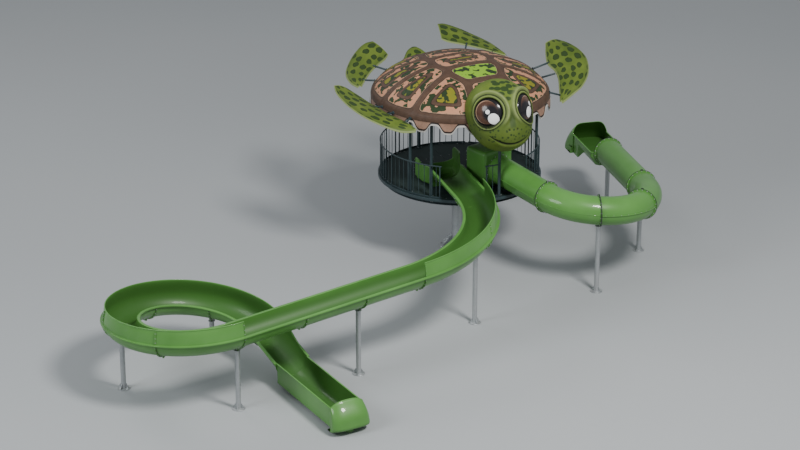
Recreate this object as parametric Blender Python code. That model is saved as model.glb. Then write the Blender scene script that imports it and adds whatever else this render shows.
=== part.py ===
"""Water slide tower: a round deck with a sea-turtle roof, an open flume with a loop and a closed tube slide.

Metres, +Z up, ground at z = 0, the deck's axis on the Z axis. The photo looks along +Y from above.
Every sub-part is one closed body, and neighbours keep a gap of 0.3 mm.
"""

import math

import bmesh
import bpy
from mathutils import Matrix, Vector

for old in list(bpy.data.objects):
    bpy.data.objects.remove(old, do_unlink=True)

# Driving dimensions
GAP = 0.0003            # clearance between neighbouring pieces
DECK_R = 2.503          # deck radius
DECK_Z = 2.444          # walking surface
DECK_T = 0.09           # plate thickness
FENCE_R = 2.43          # centre of the guard's bars
FENCE_H = 1.04          # height of the guard above the deck
BAR_PITCH = 4.5         # degrees between bars, every fourth one is a post
COLUMN_R = 2.34         # centre of the roof columns
COLUMNS = (-130.5, -112.5, -61.0, 0.0, 58.5, 121.5)   # azimuths of the roof columns
EAVE_R = 2.72           # edge of the shell
EAVE_Z = 5.055          # underside of the shell's base flange
SHELL_H = 0.98          # rise of the shell above its eave band
SHELL_BAND = 0.06       # upright band at the eave
SHELL_T = 0.035
SKIRT_H = 0.27          # depth of the scalloped skirt
ARCH_H = 0.19           # rise of each scallop's arch
SCALLOPS = 19
SCALLOP_PITCH = 17.0    # degrees
SKIRT_START = -44.9     # azimuth where the skirt starts, left of the head
BODY_AZ = -62.0         # the turtle's long axis
FACE_AZ = -69.0         # the head is turned a little from it
RIM_W = 1.08            # open flume, over its lips
FLUME_RI = 0.455        # inside radius of the open flume
FLUME_RO = 0.475        # outside radius of the open flume
SPLASH_H = 0.406        # raised outer wall on the bends
START_Z = 3.033         # axis of both slides at the deck
TUBE_RO = 0.426         # outside radius of the tube slide
TUBE_T = 0.018
FLANGE = 0.035          # length of a joint flange on each side
COLLAR = 0.045          # height of the tube's flanges
LUG_DROP = 0.10         # the flume's joint lugs under its outside radius
TROUGH_Z = 0.094        # underside of the run-out trough
POST_R = 0.07           # support columns


def material(name, colour, roughness=0.4, metallic=0.0, coat=0.0):
    mat = bpy.data.materials.new(name)
    mat.use_nodes = True
    shader = mat.node_tree.nodes["Principled BSDF"]
    shader.inputs["Base Color"].default_value = (*colour, 1)
    shader.inputs["Roughness"].default_value = roughness
    shader.inputs["Metallic"].default_value = metallic
    shader.inputs["Coat Weight"].default_value = coat
    return mat


SLIDE_GREEN = material("slide_green", (0.075, 0.26, 0.045), 0.18, coat=0.6)
STEEL_TEAL = material("painted_steel", (0.035, 0.06, 0.065), 0.45)
GALVANISED = material("galvanised_steel", (0.42, 0.44, 0.45), 0.5, 0.8)
SHELL_BROWN = material("shell_brown", (0.12, 0.065, 0.04), 0.5)
SKIRT_TAN = material("skirt_tan", (0.45, 0.27, 0.19), 0.5)
SKIN_GREEN = material("skin_green", (0.2, 0.33, 0.06), 0.45)
EYE_DARK = material("eye_dark", (0.03, 0.02, 0.015), 0.15, coat=0.8)


# Shapes

def add(name, mesh, mat):
    obj = bpy.data.objects.new(name, mesh)
    bpy.context.scene.collection.objects.link(obj)
    obj.data.materials.clear()
    obj.data.materials.append(mat)
    return obj


def closed_mesh(name, verts, faces, mat):
    """One closed mesh, its faces turned outwards."""
    mesh = bpy.data.meshes.new(name)
    mesh.from_pydata([tuple(v) for v in verts], [], faces)
    work = bmesh.new()
    work.from_mesh(mesh)
    bmesh.ops.recalc_face_normals(work, faces=work.faces)
    if work.calc_volume(signed=True) < 0:
        bmesh.ops.reverse_faces(work, faces=work.faces)
    work.to_mesh(mesh)
    work.free()
    return add(name, mesh, mat)


def boolean(obj, other, operation, use_self=False):
    mod = obj.modifiers.new(operation.lower(), "BOOLEAN")
    mod.operation = operation
    mod.solver = "EXACT"
    mod.use_self = use_self
    mod.object = other
    other.hide_render = True
    other.hide_viewport = True
    return obj


def join(name, objects, mat):
    """Several meshes as one object, for a Boolean's other side."""
    work = bmesh.new()
    for obj in objects:
        work.from_mesh(obj.data)
        bpy.data.objects.remove(obj, do_unlink=True)
    mesh = bpy.data.meshes.new(name)
    work.to_mesh(mesh)
    work.free()
    return add(name, mesh, mat)


def fuse(name, objects, mat):
    """Overlapping meshes made into one closed body."""
    first = objects[0]
    first.name = name
    if len(objects) > 1:
        boolean(first, join(name + "_rest", objects[1:], mat), "UNION", use_self=True)
    return first


def moved(obj, matrix):
    obj.data.transform(matrix)
    return obj


def box(name, size, centre, mat, turn=0.0):
    """A box turned about Z."""
    mesh = bpy.data.meshes.new(name)
    work = bmesh.new()
    bmesh.ops.create_cube(work, size=1.0)
    spin = Matrix.Rotation(math.radians(turn), 4, "Z")
    work.transform(Matrix.Translation(centre) @ spin @ Matrix.Diagonal((*size, 1)))
    work.to_mesh(mesh)
    work.free()
    return add(name, mesh, mat)


def rod(name, start, end, radius, mat, sides=8):
    start, end = Vector(start), Vector(end)
    along = end - start
    mesh = bpy.data.meshes.new(name)
    work = bmesh.new()
    bmesh.ops.create_cone(
        work, cap_ends=True, segments=sides, radius1=radius, radius2=radius, depth=along.length)
    turn = along.to_track_quat("Z", "Y").to_matrix().to_4x4()
    work.transform(Matrix.Translation((start + end) / 2) @ turn)
    work.to_mesh(mesh)
    work.free()
    return add(name, mesh, mat)


def ball(name, centre, size, mat, rings=12, sides=20):
    mesh = bpy.data.meshes.new(name)
    work = bmesh.new()
    bmesh.ops.create_uvsphere(work, u_segments=sides, v_segments=rings, radius=1)
    work.transform(Matrix.Translation(centre) @ Matrix.Diagonal((*size, 1)))
    work.to_mesh(mesh)
    work.free()
    return add(name, mesh, mat)


def lathe(name, outline, mat, segments=48, start=0.0, sweep=360.0):
    """A closed outline of (radius, z) points turned about Z. A point on the axis becomes one vertex."""
    full = abs(sweep - 360.0) < 1e-6
    rows = segments if full else segments + 1
    verts, index = [], []
    for r, z in outline:
        if r < 1e-6:
            index.append([len(verts)] * rows)
            verts.append((0, 0, z))
            continue
        index.append(list(range(len(verts), len(verts) + rows)))
        for k in range(rows):
            a = math.radians(start + sweep * k / segments)
            verts.append((r * math.cos(a), r * math.sin(a), z))
    faces = []
    count = len(outline)
    for i in range(count):
        j = (i + 1) % count
        for k in range(segments):
            m = (k + 1) % rows
            quad = [index[i][k], index[i][m], index[j][m], index[j][k]]
            quad = [v for n, v in enumerate(quad) if v not in quad[:n]]
            if len(quad) > 2:
                faces.append(quad)
    if not full:
        faces.append([index[i][0] for i in range(count)])
        faces.append([index[i][rows - 1] for i in range(count)])
    return closed_mesh(name, verts, faces, mat)


def strip_faces(first, second, count):
    """Quads between two closed rings of vertex numbers."""
    return [[first + i, first + (i + 1) % count, second + (i + 1) % count, second + i] for i in range(count)]


def loft(name, rings, mat):
    """Closed outlines of equal length joined one to the next, with both ends filled."""
    verts = [p for ring in rings for p in ring]
    n = len(rings[0])
    faces = []
    for s in range(len(rings) - 1):
        faces += strip_faces(s * n, (s + 1) * n, n)
    faces.append(list(range(n)))
    faces.append([(len(rings) - 1) * n + i for i in range(n)])
    return closed_mesh(name, verts, faces, mat)


def pipe_loft(name, outer, inner, mat):
    """Outer rings and inner rings joined into an open-ended pipe."""
    n, rows = len(outer[0]), len(outer)
    verts = [p for ring in outer + inner for p in ring]
    base = n * rows
    faces = []
    for s in range(rows - 1):
        faces += strip_faces(s * n, (s + 1) * n, n)
        faces += strip_faces(base + s * n, base + (s + 1) * n, n)
    for s in (0, rows - 1):
        faces += strip_faces(s * n, base + s * n, n)
    return closed_mesh(name, verts, faces, mat)


# Slides: centre lines and sections

class Route:
    """A slide's centre line, built up from straights and bends that fall at a given slope."""

    def __init__(self, x, y, z, heading):
        self.at = Vector((x, y, z))
        self.heading = math.radians(heading)

    def section(self, length, fall, fall_end=None, radius=None, turn=-1):
        """A function from distance to (point, heading). The route moves on to the section's end."""
        origin, first = self.at.copy(), self.heading
        change = 0.0 if fall_end is None else (fall_end - fall) / length

        def place(s):
            z = origin.z - fall * s - change * s * s / 2
            if radius is None:
                return Vector((origin.x + s * math.cos(first), origin.y + s * math.sin(first), z)), first
            heading = first + turn * s / radius
            x = origin.x + turn * radius * (math.sin(heading) - math.sin(first))
            y = origin.y - turn * radius * (math.cos(heading) - math.cos(first))
            return Vector((x, y, z)), heading

        self.at, self.heading = place(length)
        return place


def set_out(place, profile, distance):
    """Profile points (left of travel, up) at a distance along a section."""
    point, heading = place(distance)
    left = Vector((-math.sin(heading), math.cos(heading), 0))
    return [point + left * u + Vector((0, 0, w)) for u, w in profile]


def level(profile, z):
    """A profile whose heights are measured from the ground, for a section at height z."""
    return [(u, w - z) for u, w in profile]


def distances(length, steps):
    """Distances of the rings, with two close pairs where the end flanges stop."""
    start, end = FLANGE + 0.002, length - FLANGE - 0.002
    inner = [start + (end - start) * k / steps for k in range(steps + 1)]
    return [GAP / 2, FLANGE] + inner + [length - FLANGE, length - GAP / 2]


def flume_profile(flanged=False, splash=0.0, lug=True, wide=12):
    """The open flume's section, round the outside from the left lip, then back along the inside."""
    lip = RIM_W / 2
    out = FLUME_RO + (0.03 if flanged else 0)
    under = 0.05 if flanged else 0.02
    points = [(lip, 0), (lip, -under)]
    for k in range(wide + 1):
        a = math.pi * k / wide
        u, w = out * math.cos(a), -out * math.sin(a)
        if flanged and lug and abs(k - wide / 2) < 1.5:
            u, w = 0.07 * (wide / 2 - k), -(FLUME_RO + LUG_DROP)
        points.append((u, min(w, -under)))
    points += [(-lip, -under), (-lip, 0)]
    for k in range(wide + 1):
        a = math.pi * (1 - k / wide)
        points.append((FLUME_RI * math.cos(a), -FLUME_RI * math.sin(a)))
    if splash:
        top = SPLASH_H * splash
        lean = 0.075 * splash
        points += [
            (FLUME_RI - lean, top),
            (FLUME_RI + 0.03 - lean, top),
            (FLUME_RI + 0.03 - lean, top - 0.3 * min(top, 0.06)),
            (FLUME_RI + 0.018, 0.001),
        ]
    return points


def flume(name, place, length, steps=1, splash=False, fade=False, first_lug=True):
    """One moulded length of open flume with its two joint flanges."""
    rings = []
    every = distances(length, steps)
    for n, s in enumerate(every):
        flanged = n < 2 or n > len(every) - 3
        rise = 1.0 if splash else 0.0
        if fade:
            rise = max(0.04, 1 - s / length)
        rings.append(set_out(place, flume_profile(flanged, rise, first_lug or n > 1), s))
    return loft(name, rings, SLIDE_GREEN)


def circle(radius, sides):
    return [(radius * math.cos(2 * math.pi * k / sides), radius * math.sin(2 * math.pi * k / sides))
            for k in range(sides)]


def tube(name, place, length, steps=1, sides=16):
    """One moulded length of tube with its two joint flanges."""
    outer, inner = [], []
    every = distances(length, steps)
    for n, s in enumerate(every):
        flanged = n < 2 or n > len(every) - 3
        outer.append(set_out(place, circle(TUBE_RO + (COLLAR if flanged else 0), sides), s))
        inner.append(set_out(place, circle(TUBE_RO - TUBE_T, sides), s))
    return pipe_loft(name, outer, inner, SLIDE_GREEN)


def half_tubes(name, place, length, steps=1, sides=8):
    """One length of tube moulded in an upper and a lower half, with its two joint flanges."""
    slip = GAP / 2 / TUBE_RO
    every = distances(length, steps)
    for label, first in (("upper", 0.0), ("lower", math.pi)):
        angles = [first + slip + (math.pi - 2 * slip) * k / sides for k in range(sides + 1)]
        rings = []
        for n, s in enumerate(every):
            flanged = n < 2 or n > len(every) - 3
            out = TUBE_RO + (COLLAR if flanged else 0)
            section = [(out * math.cos(a), out * math.sin(a)) for a in angles]
            section += [((TUBE_RO - TUBE_T) * math.cos(a), (TUBE_RO - TUBE_T) * math.sin(a))
                        for a in reversed(angles)]
            rings.append(set_out(place, section, s))
        loft(f"{name}_{label}", rings, SLIDE_GREEN)


def trough_profile(half, rim, floor, wall=0.02, lip=0.045):
    """A box trough with a rounded floor: half its inside width, then rim and floor heights."""
    foot = floor - wall
    return [
        (half + lip, rim), (half + lip, rim - 0.02), (half + wall, rim - 0.02), (half + wall, foot + 0.08),
        (half - 0.06, foot), (-half + 0.06, foot), (-half - wall, foot + 0.08), (-half - wall, rim - 0.02),
        (-half - lip, rim - 0.02), (-half - lip, rim), (-half, rim), (-half, floor + 0.12),
        (-half + 0.12, floor + 0.02), (0, floor), (half - 0.12, floor + 0.02), (half, floor + 0.12),
        (half, rim),
    ]


def skirted_profile(half, rim, floor, foot, corner, wall=0.02, lip=0.045):
    """A trough with sloped floor corners, whose side walls run on below its floor to a foot."""
    under = floor - wall
    knee = half + wall - max(0.0, corner - 0.07)
    side = [(half + lip, rim), (half + lip, rim - 0.02), (half + wall, rim - 0.02),
            (half + wall, floor + max(corner, 0.1)), (knee, foot), (knee - wall, foot), (knee - wall, under)]
    return side + [(-u, w) for u, w in reversed(side)] + [
        (-half, rim), (-half, floor + corner), (-half + corner, floor), (half - corner, floor),
        (half, floor + corner), (half, rim),
    ]


# Shares of a nose's height, counted down from its rim, and of its reach
NOSE_SIDE = ((0.0, 0.15), (0.2, 0.55), (0.45, 0.86), (0.7, 0.98), (0.87, 1.0), (1.0, 0.62))
BOXY_SIDE = ((0.0, 0.12), (0.2, 0.40), (0.45, 0.68), (0.7, 0.88), (0.9, 1.0), (1.0, 0.97))


class Nose:
    """The nose that closes a run-out: a bucket open towards the trough, with an arched top edge."""

    def __init__(self, place, start, half, rim, foot, reach, side=NOSE_SIDE, crown=0.15, power=3):
        self.place, self.start, self.half, self.rim, self.foot, self.reach = place, start, half, rim, foot, reach
        self.side, self.crown, self.power = side, crown, power
        self.flare = 0.10       # how far its front stands out at each side

    def share(self, t):
        """Share of the reach at a share of the height."""
        for (low, first), (high, last) in zip(self.side, self.side[1:]):
            if t <= high:
                return first + (last - first) * (t - low) / (high - low)
        return self.side[-1][1]

    def solid(self, label, inset=0.0, back=0.0, top=None, low=None, above=0.0):
        """The nose's outer form, or a form that lies inset from it between two heights."""
        cols = 8
        low = self.foot if low is None else low
        rings = []
        for level_share, _ in self.side:
            front, rear = [], []
            for c in range(cols + 1):
                q = -1 + 2 * c / cols
                arch = 1 - abs(q) ** self.power
                edge = self.rim + self.crown * arch
                z = (edge if top is None else top) * (1 - level_share) + low * level_share
                t = min((edge - z) / (edge - self.foot), 1.0)
                if level_share == 0:
                    z += above
                flare = self.flare * math.sin(math.pi / 2 * min(1, t + 0.1))
                plan = 0.25 + 0.75 * arch ** 0.4
                near = self.start + GAP / 2 + self.reach * self.share(t) * plan - inset
                wide = self.half + 0.05 - inset
                front.append((near, (wide + flare) * q, z))
                rear.append((self.start + GAP / 2 - back, wide * q, z))
            if back:
                rear = [(self.start, rear[0][1], rear[0][2])] + rear + [(self.start, rear[-1][1], rear[-1][2])]
            ring = []
            for s, u, z in front + rear[::-1]:
                point, heading = self.place(s)
                p = point + Vector((-math.sin(heading), math.cos(heading), 0)) * u
                ring.append(Vector((p.x, p.y, z)))
            rings.append(ring)
        return loft(label, rings, SLIDE_GREEN)


def foot_rod(name, spot, top):
    return rod(name, (spot.x, spot.y, 0), (spot.x, spot.y, top), 0.125, SLIDE_GREEN, 16)


# Tower

FRAME_TOP = DECK_Z - DECK_T - GAP
FRAME_FOOT = FRAME_TOP - 0.18


def tower_mast():
    """A pipe on a round base plate, with a round head plate under the deck frame."""
    base, pipe, head, wall = 0.62, 0.22, 0.5, 0.012
    plate, hole = 0.03, 0.12
    return lathe("tower_mast", [
        (0, 0), (base, 0), (base, plate), (pipe + 0.02, plate), (pipe, plate + 0.03),
        (pipe, FRAME_FOOT - plate), (head, FRAME_FOOT - plate), (head, FRAME_FOOT - GAP),
        (hole, FRAME_FOOT - GAP), (hole, FRAME_FOOT - plate), (pipe - wall, FRAME_FOOT - plate - 0.01),
        (pipe - wall, plate + 0.01), (hole, plate), (0, plate),
    ], GALVANISED, 24)


def deck():
    """The deck plate, welded to a hub, eight radial beams and a ring under its edge."""
    beam_h = 0.13
    low = DECK_Z - DECK_T
    sunk = low + 0.02       # the frame's top, inside the plate
    parts = [
        lathe("deck", [
            (0, low), (DECK_R - 0.02, low), (DECK_R, low + 0.02), (DECK_R, DECK_Z - 0.01),
            (DECK_R - 0.01, DECK_Z), (0, DECK_Z),
        ], STEEL_TEAL, 72),
        lathe("hub", [(0, FRAME_FOOT), (0.52, FRAME_FOOT), (0.52, sunk), (0, sunk)], STEEL_TEAL, 24),
        lathe("ring", [(2.28, low - beam_h), (2.36, low - beam_h), (2.36, sunk), (2.28, sunk)], STEEL_TEAL, 40),
    ]
    for k in range(8):
        a = 22.5 + 45 * k
        direction = Vector((math.cos(math.radians(a)), math.sin(math.radians(a)), 0))
        centre = direction * 1.33 + Vector((0, 0, (low - beam_h + sunk) / 2))
        parts.append(box("beam", (1.95, 0.09, sunk - low + beam_h), centre, STEEL_TEAL, a))
    return fuse("deck", parts, STEEL_TEAL)


def fence_panel(name, first, last, end_bar=None):
    """Bars at bar numbers first to last, fused to a top rail and a foot rail."""
    foot = DECK_Z + GAP
    rail = 0.05
    overhang = 1.2      # degrees of rail past the end bars
    angles = [BAR_PITCH * n for n in range(first, last + 1)]
    if end_bar:
        angles[-1] = BAR_PITCH * end_bar
    start, end = angles[0] - overhang, angles[-1] + overhang
    parts = []
    for r, z in ((0.03, DECK_Z + FENCE_H - rail), (0.02, foot)):
        outline = [(FENCE_R - r, z), (FENCE_R + r, z), (FENCE_R + r, z + rail), (FENCE_R - r, z + rail)]
        parts.append(lathe(name, outline, STEEL_TEAL, last - first, start, end - start))
    height = FENCE_H - rail
    for n, a in zip(range(first, last + 1), angles):
        thick = 0.042 if n % 4 == 3 or n in (first, last) else 0.022
        centre = Vector((math.cos(math.radians(a)), math.sin(math.radians(a)), 0)) * FENCE_R
        centre.z = foot + 0.02 + height / 2
        parts.append(box("bar", (thick, thick, height), centre, STEEL_TEAL, a))
    return fuse(name, parts, STEEL_TEAL)


tower_mast()
deck()

# Bar 0 stands at azimuth 0. The open flume leaves over bars -22 to -17, the tube over bars -13 to -9.
for number, (first_bar, last_bar) in enumerate(((-8, 5), (6, 18), (19, 31), (32, 44)), 1):
    fence_panel(f"fence_panel_{number}", first_bar, last_bar)
fence_panel("fence_panel_5", 45, 57, 56.6)
fence_panel("fence_panel_6", -16, -14)

for number, azimuth in enumerate(COLUMNS, 1):
    spot = Vector((math.cos(math.radians(azimuth)), math.sin(math.radians(azimuth)), 0)) * COLUMN_R
    rod(f"roof_column_{number}", spot + Vector((0, 0, DECK_Z + GAP)), spot + Vector((0, 0, EAVE_Z - GAP)),
        0.045, STEEL_TEAL, 12)


# Roof: shell, skirt, head, tail and flippers

SHARES = [0, 0.2, 0.4, 0.55, 0.7, 0.82, 0.91, 0.97, 1.0]


def dome_point(share, clear=0.0):
    """Radius and height on the shell's outside, from 0 at the apex to 1 at the eave."""
    rise = (SHELL_H + clear) * (1 - share ** 2.1) ** 0.62
    return (EAVE_R + clear) * share, EAVE_Z + SHELL_BAND + rise


def shell_petals():
    """The domed shell with a flat base flange, moulded in three petals."""
    outside = [dome_point(s) for s in SHARES]
    inside = [dome_point(s, -SHELL_T) for s in reversed(SHARES)]
    flange = 2.2
    outline = outside + [(EAVE_R, EAVE_Z), (flange, EAVE_Z), (flange, EAVE_Z + 0.05)] + inside[1:]
    for n in range(3):
        middle = BODY_AZ + 120 * (n + 1)
        petal = lathe(f"shell_petal_{n + 1}", outline, SHELL_BROWN, 18, middle - 60, 120)
        a = math.radians(middle)
        moved(petal, Matrix.Translation((GAP * math.cos(a), GAP * math.sin(a), 0)))


def shell_skirt():
    """A thin wall that hangs from the eave, its foot cut in round arches between short tips."""
    per = 6
    count = SCALLOPS * per
    top = EAVE_Z - GAP
    verts, faces = [], []
    for k in range(count + 1):
        a = math.radians(SKIRT_START + SCALLOP_PITCH * k / per)
        arch = math.sin(math.pi * (k % per) / per) ** 0.7
        low = top - SKIRT_H + ARCH_H * arch
        section = ((EAVE_R - 0.05, top), (EAVE_R - 0.02, top), (EAVE_R + 0.03, low), (EAVE_R, low))
        verts += [(r * math.cos(a), r * math.sin(a), z) for r, z in section]
    for k in range(count):
        faces += strip_faces(4 * k, 4 * k + 4, 4)
    faces += [[0, 1, 2, 3], [4 * count + i for i in range(4)]]
    return closed_mesh("shell_skirt", verts, faces, SKIRT_TAN)


def polar(radius, azimuth, z):
    """A point round the deck's axis: azimuth from the turtle's long axis, height from the eave."""
    a = math.radians(BODY_AZ + azimuth)
    return Vector((radius * math.cos(a), radius * math.sin(a), EAVE_Z + z))


def roof_cutter():
    """Everything inside the shell and the skirt, to cut the pieces that are fastened to them."""
    clear = 3 * GAP
    out = (EAVE_R + 0.03) / math.cos(math.pi / 54) + clear
    outline = [(0, 4.0), (out, 4.0), (out, EAVE_Z + GAP)]
    outline += [dome_point(s, clear) for s in reversed(SHARES)]
    return lathe("roof_solid", outline, SKIN_GREEN, 54, BODY_AZ - 60)


shell_petals()
shell_skirt()
ROOF_SOLID = roof_cutter()

HEAD_SPOT = polar(2.62, -3.3, 0.15)     # centre of the cranium
EYE_SIDE = 38.3         # degrees from the face's middle
EYE_LIFT = 23.0
EYE_R = 0.43
EYE_BASE = 0.77         # back of the eye, from the cranium's centre


def eye_frame(side):
    """The eye's axis as local +Z, from the cranium's centre."""
    turn = Matrix.Rotation(math.radians(FACE_AZ + side * EYE_SIDE), 4, "Z")
    tip = Matrix.Rotation(math.radians(90 - EYE_LIFT), 4, "Y")
    return Matrix.Translation(HEAD_SPOT) @ turn @ tip


def turtle_head():
    """Cranium and muzzle with a raised lid round each eye's seat, cut where the shell's rim passes."""
    face = Matrix.Translation(HEAD_SPOT) @ Matrix.Rotation(math.radians(FACE_AZ), 4, "Z")
    parts = [
        moved(ball("cranium", (0, 0, 0), (0.97, 0.97, 0.95), SKIN_GREEN, 14, 24), face),
        moved(ball("muzzle", (0.36, 0, -0.33), (0.83, 0.84, 0.70), SKIN_GREEN, 12, 24), face),
    ]
    lid = [(EYE_R - 0.02, 0.80), (EYE_R + 0.07, 0.80), (EYE_R + 0.07, 0.875), (EYE_R + 0.03, 0.93),
           (EYE_R - 0.02, 0.93)]
    for side in (1, -1):
        parts.append(moved(lathe("lid", lid, SKIN_GREEN, 20), eye_frame(side)))
    head = boolean(fuse("turtle_head", parts, SKIN_GREEN), ROOF_SOLID, "DIFFERENCE")
    pocket = [(0, EYE_BASE - GAP), (EYE_R + GAP, EYE_BASE - GAP), (EYE_R + GAP, 1.3), (0, 1.3)]
    for side in (1, -1):
        boolean(head, moved(lathe("eye_seat", pocket, SKIN_GREEN, 20), eye_frame(side)), "DIFFERENCE")
    weld = head.modifiers.new("weld", "WELD")
    weld.merge_threshold = 0.00005
    return head


def eye(name, side):
    """A domed disc that fills its seat."""
    outline = [(0, EYE_BASE), (EYE_R, EYE_BASE), (EYE_R, 0.88), (EYE_R - 0.05, 0.93), (0.27, 0.985),
               (0.14, 1.02), (0, 1.03)]
    return moved(lathe(name, outline, EYE_DARK, 20), eye_frame(side))


turtle_head()
eye("left_eye", 1)
eye("right_eye", -1)


def paddle(name, rows, struts, side=1, lift=0.0, thick=0.06):
    """A thin curved blade from rows of (azimuth, inner radius, inner z, outer radius, outer z).

    Its struts, each (start azimuth, start z, end azimuth, end radius, end z), run to the shell.
    """
    n = len(rows)
    top = []
    for azimuth, r_in, z_in, r_out, z_out in rows:
        azimuth *= side
        top.append(polar(r_in, azimuth, z_in + lift))
        top.append(polar((r_in + r_out) / 2, azimuth, (z_in + z_out) / 2 + lift + 0.05))
        top.append(polar(r_out, azimuth, z_out + lift))
    low = [p - Vector((0, 0, thick)) for p in top]
    faces = []
    for i in range(n - 1):
        for j in range(2):
            quad = [i * 3 + j, i * 3 + j + 1, (i + 1) * 3 + j + 1, (i + 1) * 3 + j]
            faces.append(quad)
            faces.append([3 * n + v for v in reversed(quad)])
    edge = [i * 3 for i in range(n)] + [3 * n - 2] + [i * 3 + 2 for i in range(n - 1, -1, -1)] + [1]
    for a, b in zip(edge, edge[1:] + edge[:1]):
        faces.append([a, b, 3 * n + b, 3 * n + a])
    parts = [closed_mesh(name, top + low, faces, SKIN_GREEN)]
    for start_az, start_z, end_az, end_r, end_z in struts:
        start = polar(EAVE_R - 0.2, side * start_az, start_z)
        end = polar(end_r, side * end_az, end_z + lift - thick / 2)
        parts.append(rod("strut", start, end, 0.028, SKIN_GREEN, 6))
    return boolean(fuse(name, parts, SKIN_GREEN), ROOF_SOLID, "DIFFERENCE")


# The left front flipper is raised in its stroke, and the right one trails
RAISED = (
    (57, 3.04, -0.22, 3.12, -0.24), (62, 3.00, -0.06, 3.25, -0.14), (67, 2.99, 0.06, 3.55, 0.02),
    (74, 2.98, 0.20, 3.87, 0.26), (81, 2.97, 0.29, 4.10, 0.56), (88, 2.98, 0.42, 4.16, 0.72),
    (95, 3.12, 0.62, 4.12, 0.78), (101, 3.42, 0.80, 3.98, 0.80),
)
TRAILING = (
    (54, 3.02, -0.26, 3.12, -0.31), (60, 2.98, -0.14, 3.38, -0.29), (67, 2.95, -0.08, 3.70, -0.12),
    (74, 2.95, -0.04, 3.95, 0.08), (81, 2.95, 0.00, 4.04, 0.20), (88, 3.00, 0.04, 4.03, 0.28),
    (96, 3.20, 0.15, 3.98, 0.31), (102, 3.50, 0.26, 3.85, 0.31),
)
REAR = (
    (123, 3.00, 0.12, 3.12, 0.09), (129, 2.97, 0.17, 3.42, 0.12), (136, 2.95, 0.25, 3.68, 0.24),
    (144, 2.95, 0.34, 3.80, 0.42), (152, 2.95, 0.43, 3.86, 0.63), (158, 2.98, 0.55, 3.85, 0.78),
    (162, 3.12, 0.68, 3.70, 0.85),
)
TAIL = (
    (171, 2.90, 0.10, 3.12, 0.20), (175, 2.88, 0.12, 3.42, 0.32), (180, 2.88, 0.14, 3.52, 0.37),
    (185, 2.88, 0.12, 3.42, 0.34), (189, 2.90, 0.10, 3.12, 0.24),
)
paddle("front_flipper_left", RAISED, (
    (55, 0.04, 60, 3.03, -0.10), (80, 0.12, 78, 3.04, 0.27), (88, 0.30, 88, 3.05, 0.45)))
paddle("front_flipper_right", TRAILING, (
    (62, 0.03, 62, 3.05, -0.10), (76, 0.03, 76, 3.04, 0.0), (88, 0.05, 88, 3.1, 0.08)), side=-1)
paddle("rear_flipper_left", REAR, ((132, 0.18, 131, 3.04, 0.21), (148, 0.28, 147, 3.04, 0.41)), lift=0.12)
paddle("rear_flipper_right", REAR, ((132, 0.08, 131, 3.04, 0.21), (148, 0.2, 147, 3.04, 0.41)), -1, -0.10)
paddle("tail", TAIL, ((180, 0.1, 180, 3.0, 0.17),))


# Open flume, from the deck down through two bends, three straights and the loop

route = Route(-0.429, -1.228, START_Z, -69.19)
flume_joints = []

length = 1.902
place = route.section(length, 0.070)
tub_end, tub_heading = place(0)
flume("flume_straight_1", place, length, first_lug=False)

bend_r, bend_turn, bend_fall, straight_fall = 4.314, 76.875, 0.052, 0.050
for number in (1, 2):
    length = bend_r * math.radians(bend_turn) / 2
    place = route.section(length, bend_fall, radius=bend_r)
    flume(f"flume_bend_{number}", place, length, 5, splash=True)
    flume_joints.append((route.at.copy(), bend_fall if number == 1 else straight_fall))

loop_r, loop_turn, loop_pieces, drop_fall = 2.093, 274.13, 5, 0.21
loop_falls = [0.047 + (drop_fall - 0.047) * k / loop_pieces for k in range(loop_pieces + 1)]
for number in (2, 3, 4):
    length = 5.742 / 3
    place = route.section(length, straight_fall)
    flume(f"flume_straight_{number}", place, length)
    flume_joints.append((route.at.copy(), straight_fall if number < 4 else loop_falls[0]))
for number in range(loop_pieces):
    length = loop_r * math.radians(loop_turn) / loop_pieces
    place = route.section(length, loop_falls[number], loop_falls[number + 1], radius=loop_r)
    flume(f"flume_loop_{number + 1}", place, length, 6, splash=True)
    flume_joints.append((route.at.copy(), loop_falls[number + 1]))

length = 1.471
place = route.section(length, drop_fall)
flume("flume_drop", place, length, 3, fade=True)

# Its run-out: a level trough on a round foot, closed by the nose on another
trough_length, trough_half = 3.052, 0.435
trough_rim = route.at.z
trough_place = route.section(trough_length, 0.0)
trough_section = level(trough_profile(trough_half, trough_rim, TROUGH_Z + 0.02), trough_rim)
trough = loft("runout_trough", [
    set_out(trough_place, trough_section, s) for s in (GAP / 2, trough_length - GAP / 2)], SLIDE_GREEN)
fuse("runout_trough", [trough, foot_rod("rear_foot", trough_place(0.35)[0], TROUGH_Z + 0.01)], SLIDE_GREEN)
nose_form = Nose(trough_place, trough_length, trough_half, trough_rim, TROUGH_Z, 0.47)
nose = nose_form.solid("runout_nose")
boolean(nose, nose_form.solid("nose_hollow", 0.025, 0.1, low=TROUGH_Z + 0.025, above=0.3), "DIFFERENCE")
boolean(nose, foot_rod("nose_foot", trough_place(trough_length + 0.16)[0], TROUGH_Z + 0.015), "UNION")


def tub_profile(spread, rise):
    """The entry tub's section: spread beyond the flume's half width, and rim height over the deck."""
    half = 0.455 + spread
    floor = DECK_Z + GAP
    rim = DECK_Z + rise
    return [
        (half + 0.05, rim), (half + 0.05, rim - 0.02), (half + 0.02, rim - 0.02), (half + 0.02, floor + 0.12),
        (half - 0.14, floor), (-half + 0.14, floor), (-half - 0.02, floor + 0.12), (-half - 0.02, rim - 0.02),
        (-half - 0.05, rim - 0.02), (-half - 0.05, rim), (-half, rim), (-half, floor + 0.16),
        (-half + 0.16, floor + 0.02), (half - 0.16, floor + 0.02), (half, floor + 0.16), (half, rim),
    ]


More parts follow.
